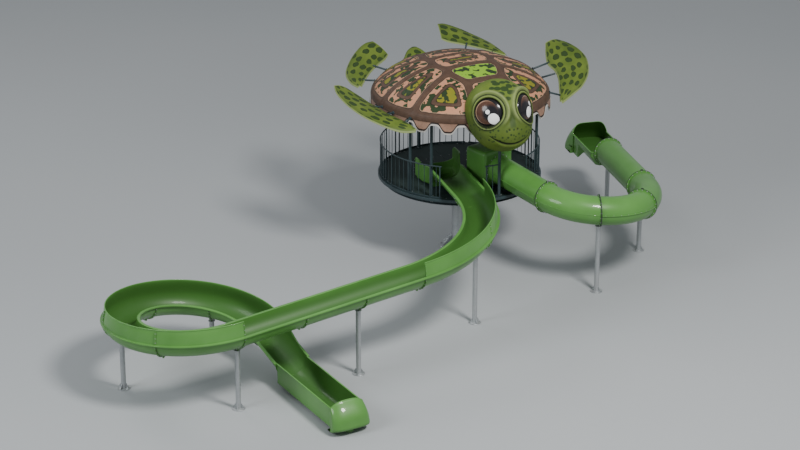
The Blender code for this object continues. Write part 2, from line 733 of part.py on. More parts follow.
tub_place = Route(tub_end.x, tub_end.y, 0, math.degrees(tub_heading)).section(1.0, 0.0)
loft("entry_tub", [
    set_out(tub_place, tub_profile(spread, rise), s)
    for spread, rise, s in ((0.14, 0.79, -1.0), (0.14, 0.83, -0.62), (0.04, 0.67, -0.34), (0.0, 0.59, -GAP / 2))
], SLIDE_GREEN)


# Tube slide, from its start box round to a short open run-out

BOX_LENGTH, BOX_WIDTH, BOX_HEIGHT, BOX_WALL = 0.9, 1.12, 1.16, 0.03
tube_route = Route(0.86, -0.913, START_Z, -51.5)
start_place = tube_route.section(0.46, 0.104)
mouth, mouth_heading = start_place(0.46)


def tube_start_box():
    """A rounded box, open at the back, with the tube's round mouth in its front."""
    ahead = Vector((math.cos(mouth_heading), math.sin(mouth_heading), 0))
    turn = math.degrees(mouth_heading)
    low, high = DECK_Z + GAP, DECK_Z + BOX_HEIGHT
    centre = mouth - ahead * (BOX_LENGTH / 2 + GAP)
    centre.z = (low + high) / 2
    outer = box("tube_start_box", (BOX_LENGTH, BOX_WIDTH, high - low), centre, SLIDE_GREEN, turn)
    bevel = outer.modifiers.new("edges", "BEVEL")
    bevel.width = 0.09
    bevel.segments = 2
    bevel.limit_method = "ANGLE"
    back = 0.2      # the hollow is moved back by this much and runs out of the open back
    hollow_size = (BOX_LENGTH + 2 * back - 0.07, BOX_WIDTH - 2 * BOX_WALL, high - low - 2 * BOX_WALL)
    boolean(outer, box("start_hollow", hollow_size, centre - ahead * back, SLIDE_GREEN, turn), "DIFFERENCE")
    hole = rod("start_mouth", mouth - ahead * 0.3, mouth + ahead * 0.3, TUBE_RO - TUBE_T, SLIDE_GREEN, 24)
    return boolean(outer, hole, "DIFFERENCE")


tube_start_box()

tube_joints = []
length = 2.655 - 0.46
half_tubes("tube_straight_1", tube_route.section(length, 0.104), length)
for number, (radius, turn, fall, next_fall) in enumerate((
        (1.695, 57.1, 0.104, 0.104), (1.669, 59.45, 0.104, 0.110), (3.177, 40.04, 0.110, 0.0)), 1):
    length = radius * math.radians(turn)
    moulded = tube if number == 3 else half_tubes
    moulded(f"tube_bend_{number}", tube_route.section(length, fall, radius=radius, turn=1), length, 6)
    tube_joints.append((tube_route.at.copy(), next_fall))
length = 2.963
tube("tube_straight_2", tube_route.section(length, 0.0), length)
tube_joints.append((tube_route.at.copy(), 0.0))

# Its run-out: a wide channel on side walls that run down to a foot, closed by a boxy nose
axis_z = tube_route.at.z
runout_rim = axis_z + 0.02
runout_floor = axis_z - TUBE_RO + TUBE_T
runout_foot = axis_z - 0.62
runout_half, runout_length = 0.53, 1.75
neck, skirt_start = 0.12, 1.30
runout_place = tube_route.section(2.5, 0.0)
loft("tube_runout", [
    set_out(runout_place, level(skirted_profile(half, runout_rim, runout_floor, foot, corner), axis_z), s)
    for half, foot, corner, s in (
        (TUBE_RO - TUBE_T, runout_floor - 0.03, 0.24, GAP), (runout_half, runout_floor - 0.03, 0.24, neck),
        (runout_half, runout_floor - 0.03, 0.24, skirt_start - 0.02),
        (runout_half, runout_foot, 0.07, skirt_start + 0.02),
        (runout_half, runout_foot, 0.07, runout_length - GAP / 2))
], SLIDE_GREEN)
boxy = Nose(runout_place, runout_length, runout_half, runout_rim, runout_foot, 0.80, BOXY_SIDE, 0.33, 6)
nose = boxy.solid("tube_runout_nose")
boolean(nose, boxy.solid("nose_hollow", 0.025, 0.1, low=runout_floor, above=0.3), "DIFFERENCE")
boolean(nose, boxy.solid("nose_foot_hollow", 0.025, 0.1, runout_floor - 0.02, runout_foot - 0.1), "DIFFERENCE")


# Supports under the joints

def support(name, spot, top):
    """A column on a round base plate, with a cap plate under the joint."""
    foot = Vector((spot.x, spot.y, 0))
    head = Vector((spot.x, spot.y, top - GAP))
    thick = Vector((0, 0, 0.02))
    return fuse(name, [
        rod(name, foot + thick / 2, head - thick / 2, POST_R, GALVANISED, 14),
        rod("plate", foot, foot + thick, 0.18, GALVANISED, 14),
        rod("cap", head - thick, head, 0.10, GALVANISED, 14),
    ], GALVANISED)


for number, k in enumerate((0, 2, 4, 6, 8), 1):
    spot, fall = flume_joints[k]
    support(f"flume_support_{number}", spot, spot.z - FLUME_RO - LUG_DROP - fall * FLANGE)
for number, k in enumerate((0, 2, 3), 1):
    spot, fall = tube_joints[k]
    support(f"tube_support_{number}", spot, spot.z - TUBE_RO - COLLAR - fall * FLANGE)
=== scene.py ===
"""The looks of the water slide tower: gel-coated slides, a painted turtle roof and a steel tower.

Metres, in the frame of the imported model: ground at z = 0, the deck's axis on the Z axis. The camera
looks along +Y from above, and the turtle's face points to azimuth -69 degrees.
"""

import math

import bmesh
import bpy
import numpy as np
from mathutils import Matrix, Vector
from mathutils.geometry import tessellate_polygon


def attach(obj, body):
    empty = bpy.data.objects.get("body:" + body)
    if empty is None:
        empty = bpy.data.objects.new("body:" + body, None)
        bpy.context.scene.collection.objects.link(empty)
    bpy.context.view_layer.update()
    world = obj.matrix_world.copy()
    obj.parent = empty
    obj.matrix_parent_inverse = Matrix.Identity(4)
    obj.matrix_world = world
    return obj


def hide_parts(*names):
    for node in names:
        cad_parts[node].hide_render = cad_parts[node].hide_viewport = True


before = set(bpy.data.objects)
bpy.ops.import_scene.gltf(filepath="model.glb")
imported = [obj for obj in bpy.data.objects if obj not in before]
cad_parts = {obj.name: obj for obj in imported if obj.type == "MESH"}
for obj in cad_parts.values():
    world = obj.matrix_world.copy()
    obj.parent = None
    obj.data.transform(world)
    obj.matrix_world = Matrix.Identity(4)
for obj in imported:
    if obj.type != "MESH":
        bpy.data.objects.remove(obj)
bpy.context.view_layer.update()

# Sizes shared with the solids
GAP = 0.0003                    # what keeps neighbouring parts from touching
DECK_R, DECK_Z, DECK_T = 2.503, 2.444, 0.09
FENCE_R, FENCE_H, BAR_PITCH = 2.43, 1.04, 4.5
COLUMN_R = 2.34
COLUMNS = (-130.5, -112.5, -61.0, 0.0, 58.5, 121.5)
EAVE_R, EAVE_Z, SHELL_H, SHELL_BAND, SHELL_T = 2.72, 5.055, 0.98, 0.06, 0.035
SCALLOPS, SCALLOP_PITCH, SKIRT_START = 19, 17.0, -44.9
BODY_AZ, FACE_AZ = -62.0, -69.0
START_Z = 3.033
FLUME_RI, FLUME_RO, SPLASH_H, LEAN = 0.455, 0.475, 0.406, 0.075
BEND_R, BEND_TURN, LOOP_R, LOOP_TURN = 4.314, 76.875, 2.093, 274.13
BEND_FALL, STRAIGHT_FALL, LOOP_FALL, DROP_FALL, TUBE_FALL = 0.052, 0.050, 0.047, 0.21, 0.104
STRAIGHT_LENGTH, HIDDEN_LENGTH = 5.742, 0.46
TROUGH_Z, TROUGH_HALF, TROUGH_LENGTH = 0.094, 0.435, 3.052
TUBE_RO, TUBE_T, COLLAR = 0.426, 0.018, 0.045
BOX_LENGTH, BOX_WIDTH, BOX_HEIGHT, BOX_WALL = 0.9, 1.12, 1.16, 0.03
LUG_DROP, POST_R = 0.10, 0.07
UP = Vector((0, 0, 1))


# Materials

class Paint:
    """A Principled material with a few helpers for its nodes."""

    def __init__(self, name, roughness=0.4, metallic=0.0, specular=0.5, coat=0.0, coat_roughness=0.05):
        self.mat = bpy.data.materials.new(name)
        self.mat.use_nodes = True
        self.tree = self.mat.node_tree
        self.shader = self.tree.nodes["Principled BSDF"]
        for socket, value in (
                ("Roughness", roughness), ("Metallic", metallic), ("Specular IOR Level", specular),
                ("Coat Weight", coat), ("Coat Roughness", coat_roughness)):
            self.shader.inputs[socket].default_value = value
        self.place = self.tree.nodes.new("ShaderNodeTexCoord").outputs["Object"]

    def node(self, kind, inputs, **settings):
        """A new node: settings are its properties, inputs are values or other sockets."""
        new = self.tree.nodes.new(kind)
        for key, value in settings.items():
            setattr(new, key, value)
        for key, value in inputs.items():
            if isinstance(value, bpy.types.NodeSocket):
                self.tree.links.new(value, new.inputs[key])
            else:
                new.inputs[key].default_value = value
        return new

    def noise(self, scale, detail=2.0, rough=0.5, distortion=0.0):
        return self.node("ShaderNodeTexNoise", {
            "Vector": self.place, "Scale": scale, "Detail": detail, "Roughness": rough,
            "Distortion": distortion}).outputs["Fac"]

    def cells(self, scale, randomness=1.0, vector=None, **settings):
        """A Voronoi pattern, in the object's own place unless another vector is given."""
        return self.node("ShaderNodeTexVoronoi", {
            "Vector": vector or self.place, "Scale": scale, "Randomness": randomness}, **settings)

    def ramp(self, value, *ends):
        """A straight ramp between two (position, colour or grey) ends."""
        new = self.node("ShaderNodeValToRGB", {"Fac": value})
        for element, (position, colour) in zip(new.color_ramp.elements, ends):
            element.position = position
            grey = isinstance(colour, (int, float))
            element.color = (colour, colour, colour, 1) if grey else (*colour, 1)
        return new.outputs["Color"]

    def above(self, value, level, soft=0.004):
        """1 where a value is over a level, 0 where it is under it."""
        return self.ramp(value, (level, 0.0), (level + soft, 1.0))

    def below(self, value, level, soft):
        """1 where a value is under a level, 0 where it is over it."""
        return self.ramp(value, (level, 1.0), (level + soft, 0.0))

    def patches(self, scale, detail, rough, low, high):
        """Soft patches of noise, from 0 at its low value to 1 at its high one."""
        return self.ramp(self.noise(scale, detail, rough), (low, 0.0), (high, 1.0))

    def mix(self, factor, first, second):
        """A colour between two, each a socket or (red, green, blue)."""
        first, second = (c if isinstance(c, bpy.types.NodeSocket) else (*c, 1) for c in (first, second))
        return self.node("ShaderNodeMix", {0: factor, 6: first, 7: second}, data_type="RGBA").outputs[2]

    def math(self, operation, first, second=0.0):
        return self.node("ShaderNodeMath", {0: first, 1: second}, operation=operation).outputs[0]

    def field(self, name):
        """A value that the mesh carries at each vertex."""
        return self.node("ShaderNodeAttribute", {}, attribute_name=name).outputs["Fac"]

    def colour(self, value):
        self.tree.links.new(value, self.shader.inputs["Base Color"])

    def ranged(self, socket, value, low, high):
        """Drives a socket of the shader: low where the value is 0, high where it is 1."""
        spread = self.node("ShaderNodeMapRange", {"Value": value, "To Min": low, "To Max": high})
        self.tree.links.new(spread.outputs["Result"], self.shader.inputs[socket])

    def bump(self, height, distance, strength):
        under = self.shader.inputs["Normal"]
        inputs = {"Height": height, "Distance": distance, "Strength": strength}
        if under.is_linked:
            inputs["Normal"] = under.links[0].from_socket
        self.tree.links.new(self.node("ShaderNodeBump", inputs).outputs["Normal"], under)


def gel_coat(name, light, dark):
    """Glossy gel coat with slow drift and dust. Inside a channel it is darker, which is painted shade, and
    its coat is worn.
    """
    coat, worn_coat = 0.35, 0.06
    paint = Paint(name, specular=0.28, coat=coat, coat_roughness=0.035)
    tone = paint.mix(paint.patches(0.55, 3.0, 0.55, 0.35, 0.65), dark, light)
    dust = paint.ramp(paint.noise(3.4, 6.0, 0.72), (0.56, 0.0), (0.78, 0.35))
    tone = paint.mix(dust, tone, [0.6 * v + 0.06 for v in light])
    inner = paint.field("inner")
    # Painted shade: the colour darkens inside a channel.
    paint.colour(paint.mix(inner, tone, [0.60 * v for v in dark]))
    paint.ranged("Coat Weight", inner, coat, worn_coat)
    paint.ranged("Roughness", paint.noise(2.3, 4.0, 0.6), 0.34, 0.48)
    paint.bump(paint.noise(55.0), 0.0006, 0.5)
    paint.bump(paint.noise(6.0), 0.0025, 0.35)
    return paint.mat


def coated_steel(name, light, dark, roughness=(0.38, 0.55)):
    """Powder-coated steel with a fine grain and a little dust."""
    paint = Paint(name)
    paint.colour(paint.mix(paint.patches(3.0, 5.0, 0.65, 0.35, 0.7), dark, light))
    paint.ranged("Roughness", paint.noise(9.0, 3.0), *roughness)
    paint.bump(paint.noise(240.0), 0.0004, 0.6)
    return paint.mat


def deck_grip():
    """Anti-slip sheet: small raised studs and scuffed, lighter paths."""
    paint = Paint("deck_grip", specular=0.2)
    scuff = paint.patches(1.1, 6.0, 0.7, 0.42, 0.68)
    base = paint.mix(scuff, (0.014, 0.024, 0.023), (0.025, 0.040, 0.038))
    stud = paint.below(paint.cells(36.0, 0.25).outputs["Distance"], 0.0, 0.45)
    paint.colour(paint.mix(paint.math("MULTIPLY", stud, 0.35), base, (0.045, 0.066, 0.064)))
    paint.ranged("Roughness", scuff, 0.62, 0.8)
    paint.bump(stud, 0.0016, 0.8)
    return paint.mat


def galvanised():
    """Hot-dip zinc with a spangle of dull crystals."""
    paint = Paint("zinc_coat", metallic=0.65)
    crystals = paint.cells(42.0).outputs["Color"]
    grain = paint.node("ShaderNodeSeparateColor", {"Color": crystals}).outputs[0]
    cloud = paint.ramp(paint.noise(2.0, 4.0), (0.4, 0.0), (0.7, 0.55))
    tone = paint.mix(paint.math("MULTIPLY", grain, 0.5), (0.36, 0.38, 0.39), (0.52, 0.54, 0.55))
    paint.colour(paint.mix(cloud, tone, (0.44, 0.45, 0.45)))
    paint.ranged("Roughness", grain, 0.38, 0.58)
    paint.bump(paint.noise(90.0), 0.0004, 0.5)
    return paint.mat


def shell_paint():
    """Painted scutes: brown bands, mottled tan panels with olive centres, and mottled lime ones."""
    paint = Paint("shell_paint", specular=0.25)
    wobble = paint.math("MULTIPLY", paint.math("SUBTRACT", paint.noise(4.0, 3.0), 0.5), 0.04)
    edge = paint.math("ADD", paint.field("border"), wobble)
    blotch = paint.noise(4.6, 1.6, 0.6, distortion=0.35)
    fine = paint.noise(30.0, 3.0)
    moss = paint.mix(fine, (0.013, 0.026, 0.010), (0.030, 0.052, 0.018))

    def mottled(ground, level=0.52):
        return paint.mix(paint.above(blotch, level, 0.015), ground, moss)

    tan = mottled(paint.mix(fine, (0.56, 0.27, 0.155), (0.40, 0.185, 0.11)), 0.505)
    olive = mottled(paint.mix(paint.noise(3.0), (0.27, 0.19, 0.014), (0.12, 0.18, 0.018)))
    lime = mottled(paint.mix(fine, (0.25, 0.46, 0.025), (0.17, 0.34, 0.02)))
    brown = paint.mix(paint.patches(4.0, 5.0, 0.7, 0.3, 0.7), (0.060, 0.034, 0.022), (0.098, 0.056, 0.037))
    # The pale lip colour is a painted highlight along the edges of the raised bands.
    outline, lip = (0.016, 0.010, 0.008), (0.36, 0.23, 0.15)

    def layered(*layers):
        """Brown at a scute's border, then each colour from its distance inwards."""
        tone = brown
        for level, colour in ((0.094, outline), (0.109, lip), *layers):
            tone = paint.mix(paint.above(edge, level), tone, colour)
        return tone

    plain = layered((0.123, tan), (0.320, outline), (0.335, brown), (0.415, outline), (0.430, olive))
    is_lime = paint.above(paint.field("kind"), 0.66, 0.01)
    paint.colour(paint.mix(is_lime, plain, layered((0.123, lime))))
    paint.ranged("Roughness", paint.noise(3.0, 4.0), 0.42, 0.58)
    paint.bump(paint.math("SINE", paint.math("MULTIPLY", edge, 190.0)), 0.0012, 0.35)
    paint.bump(paint.noise(28.0, 4.0), 0.002, 0.5)
    return paint.mat


def skirt_paint():
    """Tan face with a dark line and a pale lip along the scalloped edge."""
    paint = Paint("skirt_paint", specular=0.25)
    wobble = paint.math("MULTIPLY", paint.math("SUBTRACT", paint.noise(12.0), 0.5), 0.01)
    edge = paint.math("ADD", paint.field("edge"), wobble)
    face = paint.mix(paint.patches(2.5, 5.0, 0.7, 0.3, 0.7), (0.20, 0.115, 0.080), (0.33, 0.195, 0.135))
    line = paint.mix(paint.above(edge, 0.040, 0.006), (0.40, 0.38, 0.35), (0.018, 0.011, 0.009))
    paint.colour(paint.mix(paint.above(edge, 0.088, 0.012), line, face))
    paint.ranged("Roughness", paint.noise(4.0, 3.0), 0.38, 0.52)
    paint.bump(paint.noise(24.0, 4.0), 0.002, 0.5)
    return paint.mat


def skin_paint():
    """Yellow-green skin with oval spots, marks, freckles, pale rims, painted light and painted shade where
    the mesh asks for them.
    """
    paint = Paint("skin_paint", specular=0.2)
    field = paint.field
    skin = paint.mix(paint.patches(1.6, 4.0, 0.6, 0.3, 0.7), (0.075, 0.118, 0.016), (0.125, 0.175, 0.026))
    # Painted light: the upper head is lighter.
    skin = paint.mix(field("painted_light"), skin, (0.19, 0.28, 0.035))
    # Painted shade: darker under the brows, on the nose bridge, the lower cheeks, near the blades' edges and
    # under the blades.
    skin = paint.mix(paint.math("MULTIPLY", field("dusk"), 0.75), skin, (0.026, 0.052, 0.014))
    grid = paint.node("ShaderNodeCombineXYZ", {0: field("along"), 1: field("across")}).outputs[0]
    wave = paint.node("ShaderNodeTexNoise", {"Vector": grid, "Scale": 2.2, "Detail": 1.0}).outputs["Color"]
    sway = paint.node("ShaderNodeVectorMath", {0: wave, 1: (0.3, 0.3, 0.0)}, operation="MULTIPLY").outputs[0]
    grid = paint.node("ShaderNodeVectorMath", {0: grid, 1: sway}, operation="ADD").outputs[0]
    cells = paint.cells(1.0, 0.42, grid, voronoi_dimensions="2D")
    size = paint.node("ShaderNodeSeparateColor", {"Color": cells.outputs["Color"]}).outputs[1]
    reach = paint.math("SUBTRACT", cells.outputs["Distance"], paint.math("MULTIPLY", size, 0.10))
    spot = paint.math("MULTIPLY", paint.below(reach, 0.285, 0.015), field("spots"))
    middle = paint.math("MULTIPLY", paint.below(reach, 0.235, 0.020), field("spots"))
    skin = paint.mix(spot, skin, (0.012, 0.022, 0.007))
    skin = paint.mix(middle, skin, (0.026, 0.050, 0.013))
    skin = paint.mix(paint.above(field("mark"), 0.48, 0.04), skin, (0.028, 0.055, 0.014))
    freckle = paint.below(paint.cells(9.0, 0.9).outputs["Distance"], 0.27, 0.05)
    skin = paint.mix(paint.math("MULTIPLY", freckle, field("freckles")), skin, (0.026, 0.05, 0.014))
    # Pale rims: paint on the lids and along the blades' edges, and a painted highlight on the brow ridges.
    skin = paint.mix(field("rim"), skin, (0.27, 0.32, 0.13))
    paint.colour(paint.mix(field("shade"), skin, (0.010, 0.014, 0.006)))
    paint.ranged("Roughness", paint.noise(3.5, 3.0), 0.48, 0.62)
    paint.bump(spot, 0.003, 0.5)
    paint.bump(paint.noise(30.0, 4.0), 0.0025, 0.5)
    return paint.mat


def eye_paint():
    """A painted eye: brown iris with streaks, a tan arc of painted rim light, soft black pupil and two white
    glints.
    """
    paint = Paint("eye_paint", roughness=0.2, specular=0.3, coat=0.35)
    iris = paint.mix(paint.noise(26.0, 3.0, 0.7), (0.050, 0.023, 0.015), (0.120, 0.055, 0.034))
    tone = (0.009, 0.009, 0.010)
    for name, soft, colour in (("rim_light", 0.03, (0.46, 0.28, 0.18)), ("iris", 0.05, iris),
                               ("pupil", 0.35, (0.012, 0.011, 0.014)), ("glint", 0.05, (0.93, 0.93, 0.93))):
        tone = paint.mix(paint.below(paint.field(name), 1 - soft, soft), tone, colour)
    paint.colour(tone)
    paint.bump(paint.noise(12.0), 0.001, 0.3)
    return paint.mat


GREEN = gel_coat("slide_gel_coat", (0.105, 0.285, 0.060), (0.078, 0.225, 0.042))
TEAL = coated_steel("teal_coat", (0.028, 0.050, 0.056), (0.016, 0.031, 0.036))
GRIP = deck_grip()
ZINC = galvanised()
BOLT = coated_steel("bolt_zinc", (0.42, 0.43, 0.43), (0.30, 0.31, 0.31), (0.3, 0.45))
RUBBER = coated_steel("joint_seal", (0.020, 0.045, 0.018), (0.012, 0.028, 0.011), (0.5, 0.7))
SHELL = shell_paint()
SKIRT = skirt_paint()
SKIN = skin_paint()
EYE = eye_paint()


# Shapes

def rounded_box(size, matrix, edge, segments):
    """A box with rounded edges that the caller frees."""
    work = bmesh.new()
    bmesh.ops.create_cube(work, size=1.0)
    bmesh.ops.scale(work, vec=size, verts=work.verts)
    bmesh.ops.bevel(work, geom=work.edges, offset=edge, segments=segments, affect="EDGES", profile=0.5)
    work.transform(matrix)
    return work


def circle(sides):
    """Cosines and sines of equal steps round a circle."""
    return [(math.cos(2 * math.pi * k / sides), math.sin(2 * math.pi * k / sides)) for k in range(sides)]


class Shape:
    """Points and faces gathered from several forms for one piece. Each face keeps its material's number."""

    def __init__(self):
        self.verts, self.faces, self.paints = [], [], []

    def add(self, verts, faces, paint=0):
        base = len(self.verts)
        self.verts += [tuple(v) for v in verts]
        self.faces += [[base + i for i in face] for face in faces]
        self.paints += [paint] * len(faces)

    def take(self, mesh):
        """Adds the points and faces of a finished mesh."""
        self.add([v.co.copy() for v in mesh.vertices], [list(p.vertices) for p in mesh.polygons])

    def loft(self, rings, paint=0, round_ring=True, round_row=False, caps=True):
        """Rings of equal length joined one to the next."""
        n, rows = len(rings[0]), len(rings)
        faces = []
        for s in range(rows if round_row else rows - 1):
            t = (s + 1) % rows
            for i in range(n if round_ring else n - 1):
                j = (i + 1) % n
                faces.append([s * n + i, s * n + j, t * n + j, t * n + i])
        if caps and not round_row and round_ring:
            for first, ring in ((0, rings[0]), ((rows - 1) * n, rings[-1])):
                corners = [Vector(p) for p in ring]
                if n <= 8 or max((p - corners[0]).length for p in corners) < 0.25:
                    faces.append([first + i for i in range(n)])
                else:
                    faces += [[first + i for i in corner] for corner in tessellate_polygon([corners])]
        self.add([p for ring in rings for p in ring], faces, paint)

    def turned(self, outline, at=(0, 0, 0), axis=UP, sides=32, paint=0):
        """An outline of (radius, height) points turned about an axis, closed at its ends on the axis."""
        turn = Vector(axis).normalized().to_track_quat("Z", "Y").to_matrix()
        self.loft([[Vector(at) + turn @ Vector((r * c, r * s, z)) for c, s in circle(sides)]
                   for r, z in outline], paint)

    def ring(self, outline, sides):
        """A closed outline of (radius, height) points turned about the deck's axis into a ring."""
        self.loft([[(r * c, r * s, z) for r, z in outline] for c, s in circle(sides)], round_row=True)

    def rod(self, start, end, radius, sides, paint=0):
        """A round bar with softly rounded ends."""
        length = (end - start).length
        edge = min(radius * 0.15, length * 0.2)
        self.turned([(radius - edge, 0), (radius, edge), (radius, length - edge), (radius - edge, length)],
                    start, end - start, sides, paint)

    def block(self, size, matrix, edge, paint=0):
        """A box with rounded edges."""
        work = rounded_box(size, matrix, edge, 2)
        work.verts.index_update()
        self.add([v.co for v in work.verts], [[v.index for v in f.verts] for f in work.faces], paint)
        work.free()

    def bolt(self, at, axis, size, paint=1):
        """A hexagon head with a chamfer on a washer."""
        for outline, sides in ((((1.55, 0), (1.6, 0.2), (1.5, 0.3)), 12),
                               (((1.0, 0.28), (1.0, 0.95), (0.86, 1.1)), 6)):
            self.turned([(r * size, z * size) for r, z in outline], at, axis, sides, paint)


def fillet(points, radii, steps=5):
    """Rounds the corners of a closed outline. radii is one value or one for each point."""
    out = []
    for i, point in enumerate(points):
        radius = radii if isinstance(radii, (int, float)) else radii[i]
        if radius <= 0:
            out.append(tuple(point))
            continue
        p = Vector(point)
        a, b = Vector(points[i - 1]) - p, Vector(points[(i + 1) % len(points)]) - p
        cut = min(radius / max(math.tan(a.angle(b) / 2), 1e-3), a.length * 0.49, b.length * 0.49)
        first, last = p + a.normalized() * cut, p + b.normalized() * cut
        for k in range(steps + 1):
            t = k / steps
            out.append(tuple(first * (1 - t) ** 2 + p * 2 * t * (1 - t) + last * t * t))
    return out


def mirrored(side):
    """An outline's right side, followed by its mirror image in reverse."""
    return side + [(-u, w) for u, w in reversed(side)]


def smooth(low, high, value):
    """A soft step from 0 at a low value to 1 at a high one."""
    t = min(max((value - low) / (high - low), 0.0), 1.0)
    return t * t * (3 - 2 * t)


def hump(value, centre, width, power=2):
    """A bell of height 1 round a value, squarer with a higher power."""
    return math.exp(-((value - centre) / width) ** power)


def curve_through(points, steps):
    """A smooth curve through rows of numbers, by Catmull-Rom."""
    rows = np.array(points, float)
    ends = np.vstack([2 * rows[0] - rows[1], rows, 2 * rows[-1] - rows[-2]])
    out = []
    for i in range(len(rows) - 1):
        a, b, c, d = ends[i:i + 4]
        for t in np.arange(steps) / steps:
            out.append(0.5 * (2 * b + (c - a) * t + (2 * a - 5 * b + 4 * c - d) * t ** 2
                              + (3 * b - 3 * c + d - a) * t ** 3))
    out.append(rows[-1])
    return np.array(out)


def placed(name, data):
    """A new object in the scene."""
    obj = bpy.data.objects.new(name, data)
    bpy.context.scene.collection.objects.link(obj)
    return obj


def piece(name, shape, paints, slot, nodes, sharp=38.0, **fields):
    """Makes the object, rides it on the tower and lets it stand for its solids."""
    mesh = bpy.data.meshes.new(name)
    mesh.from_pydata(shape.verts, [], shape.faces)
    mesh.polygons.foreach_set("material_index", shape.paints)
    work = bmesh.new()
    work.from_mesh(mesh)
    bmesh.ops.recalc_face_normals(work, faces=work.faces)
    work.to_mesh(mesh)
    work.free()
    for key, values in fields.items():
        values = list(values) + [0.0] * (len(shape.verts) - len(values))
        mesh.attributes.new(key, "FLOAT", "POINT").data.foreach_set("value", np.asarray(values, np.float32))
    mesh.shade_smooth()
    mesh.set_sharp_from_angle(angle=math.radians(sharp))
    for paint in paints:
        mesh.materials.append(paint)
    obj = placed(name, mesh)
    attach(obj, "root")
    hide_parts(*nodes)


def moulded(name, shape, *nodes, paints=(GREEN, BOLT), sharp=38.0, **fields):
    """A piece of one of the slides."""
    piece(name, shape, paints, "slide_green", nodes, sharp, **fields)


def direction(azimuth):
    """The level unit vector at an azimuth in degrees."""
    a = math.radians(azimuth)
    return Vector((math.cos(a), math.sin(a), 0))


def spun(azimuth, radius, z):
    """A frame at a point round the deck's axis, its X pointing outwards."""
    return Matrix.Rotation(math.radians(azimuth), 4, "Z") @ Matrix.Translation((radius, 0, z))


def pressed(shape, turn, outline, half):
    """A flat plate with an outline of (across, up) points, upright in a frame's XZ plane."""
    shape.loft([[turn @ Vector((r, u, w)) for r, w in outline] for u in (-half, half)])


# Slides

class Route:
    """A slide's centre line, built up from straights and bends that fall at a given slope."""

    def __init__(self, x, y, z, heading):
        self.at = Vector((x, y, z))
        self.heading = math.radians(heading)

    def section(self, length, fall, fall_end=None, radius=None, turn=-1):
        """A function from distance to (point, heading). The route moves on to the section's end."""
        origin, first = self.at.copy(), self.heading
        change = 0.0 if fall_end is None else (fall_end - fall) / length

        def place(s):
            z = origin.z - fall * s - change * s * s / 2
            if radius is None:
                return Vector((origin.x + s * math.cos(first), origin.y + s * math.sin(first), z)), first
            heading = first + turn * s / radius
            x = origin.x + turn * radius * (math.sin(heading) - math.sin(first))
            y = origin.y - turn * radius * (math.cos(heading) - math.cos(first))
            return Vector((x, y, z)), heading

        self.at, self.heading = place(length)
        return place


def spot_on(place, s, u, w):
    """A point at a distance along a section, u to the left of travel and w up."""
    point, heading = place(s)
    return point + Vector((-math.sin(heading) * u, math.cos(heading) * u, w))


def across(place, s, outline):
    """An outline of (u, w) points set up across a section."""
    return [spot_on(place, s, u, w) for u, w in outline]


def ahead_at(place, s):
    """The level direction of travel at a distance along a section."""
    heading = place(s)[1]
    return Vector((math.cos(heading), math.sin(heading), 0))


def stations(length, steps):
    """Distances along a section that leave half a gap at both its ends."""
    return [GAP / 2 + (length - GAP) * k / steps for k in range(steps + 1)]


def depth_field(total, channel, edge=7):
    """How deep each point of an outline lies in its channel, which is the last points of the outline."""
    return [0.0] * (total - channel) + [
        smooth(-1, edge - 1, i) * smooth(channel, channel - edge, i) for i in range(channel)]


ARC = 36        # segments of the flume's half round


def lip_outline(side):
    """The turned-down lip, from the inside edge to the outside wall, on one side."""
    return [(side * u, w) for u, w in (
        (0.457, -0.008), (0.463, -0.001), (0.475, 0.0), (0.526, 0.0), (0.535, -0.003), (0.540, -0.011),
        (0.540, -0.036), (0.537, -0.041), (0.532, -0.038), (0.531, -0.021), (0.526, -0.014),
        (0.492, -0.013), (0.480, -0.017), (0.4755, -0.028))]


def splash_outline(rise):
    """The raised outer wall with a rolled top edge, from the inside edge to the outside of the lip."""
    top, lean = SPLASH_H * rise, LEAN * rise
    bead = 0.016 * min(1.0, top / 0.05)
    u, w = FLUME_RI - lean + bead, top - bead
    points = [(FLUME_RI - lean * t ** 1.25, w * t) for t in (k / 7 for k in range(1, 7))]
    for k in range(7):
        a = math.pi * (1 - k / 6)
        points.append((u + bead * math.cos(a), w + bead * math.sin(a)))
    points += [(u + bead - 0.004, w - bead * 0.8), (u + bead - 0.009, w - bead * 1.4)]
    for k in range(1, 6):
        t = 1 - k / 6
        points.append((FLUME_RI + 0.016 - lean * t ** 1.25 * 0.86, (w - bead * 1.5) * t + 0.008 * (1 - t)))
    return points + [(0.4775, 0.003), (0.485, 0.0)] + lip_outline(1)[3:]


def flume_outline(rise):
    """The whole section as a closed outline."""
    inside = [math.pi * (0.006 + 0.988 * k / ARC) for k in range(ARC + 1)]
    outside = [math.pi * (0.02 + 0.96 * k / ARC) for k in range(ARC + 1)]
    points = [(-FLUME_RI * math.cos(a), -FLUME_RI * math.sin(a)) for a in inside]
    points += splash_outline(rise) if rise else lip_outline(1)
    points += [(FLUME_RO * math.cos(a), -FLUME_RO * math.sin(a)) for a in outside]
    return points + lip_outline(-1)[::-1]


def plate_along(shape, place, s, line, depth, thick):
    """A flange plate that stands out by depth from a line of (u, w, out u, out w), from s to s + thick."""
    soft, root = 0.002, -0.004
    outline = ((root, 0), (depth - soft, 0), (depth, soft), (depth, thick - soft), (depth - soft, thick),
               (root, thick))
    shape.loft([[spot_on(place, s + t, u + nu * d, w + nw * d) for d, t in outline]
                for u, w, nu, nw in line])


def round_line(radius, first, last, steps):
    """Points with outward directions on an arc, angles in degrees from the rider's left, downwards."""
    line = []
    for k in range(steps + 1):
        a = math.radians(first + (last - first) * k / steps)
        line.append((radius * math.cos(a), -radius * math.sin(a), math.cos(a), -math.sin(a)))
    return line


def joint_ends(length, thick, at_end):
    """Where a flange starts, where its bolts sit and which way they point."""
    s = length - GAP / 2 - thick if at_end else GAP / 2
    return (s, s, -1) if at_end else (s, s + thick, 1)


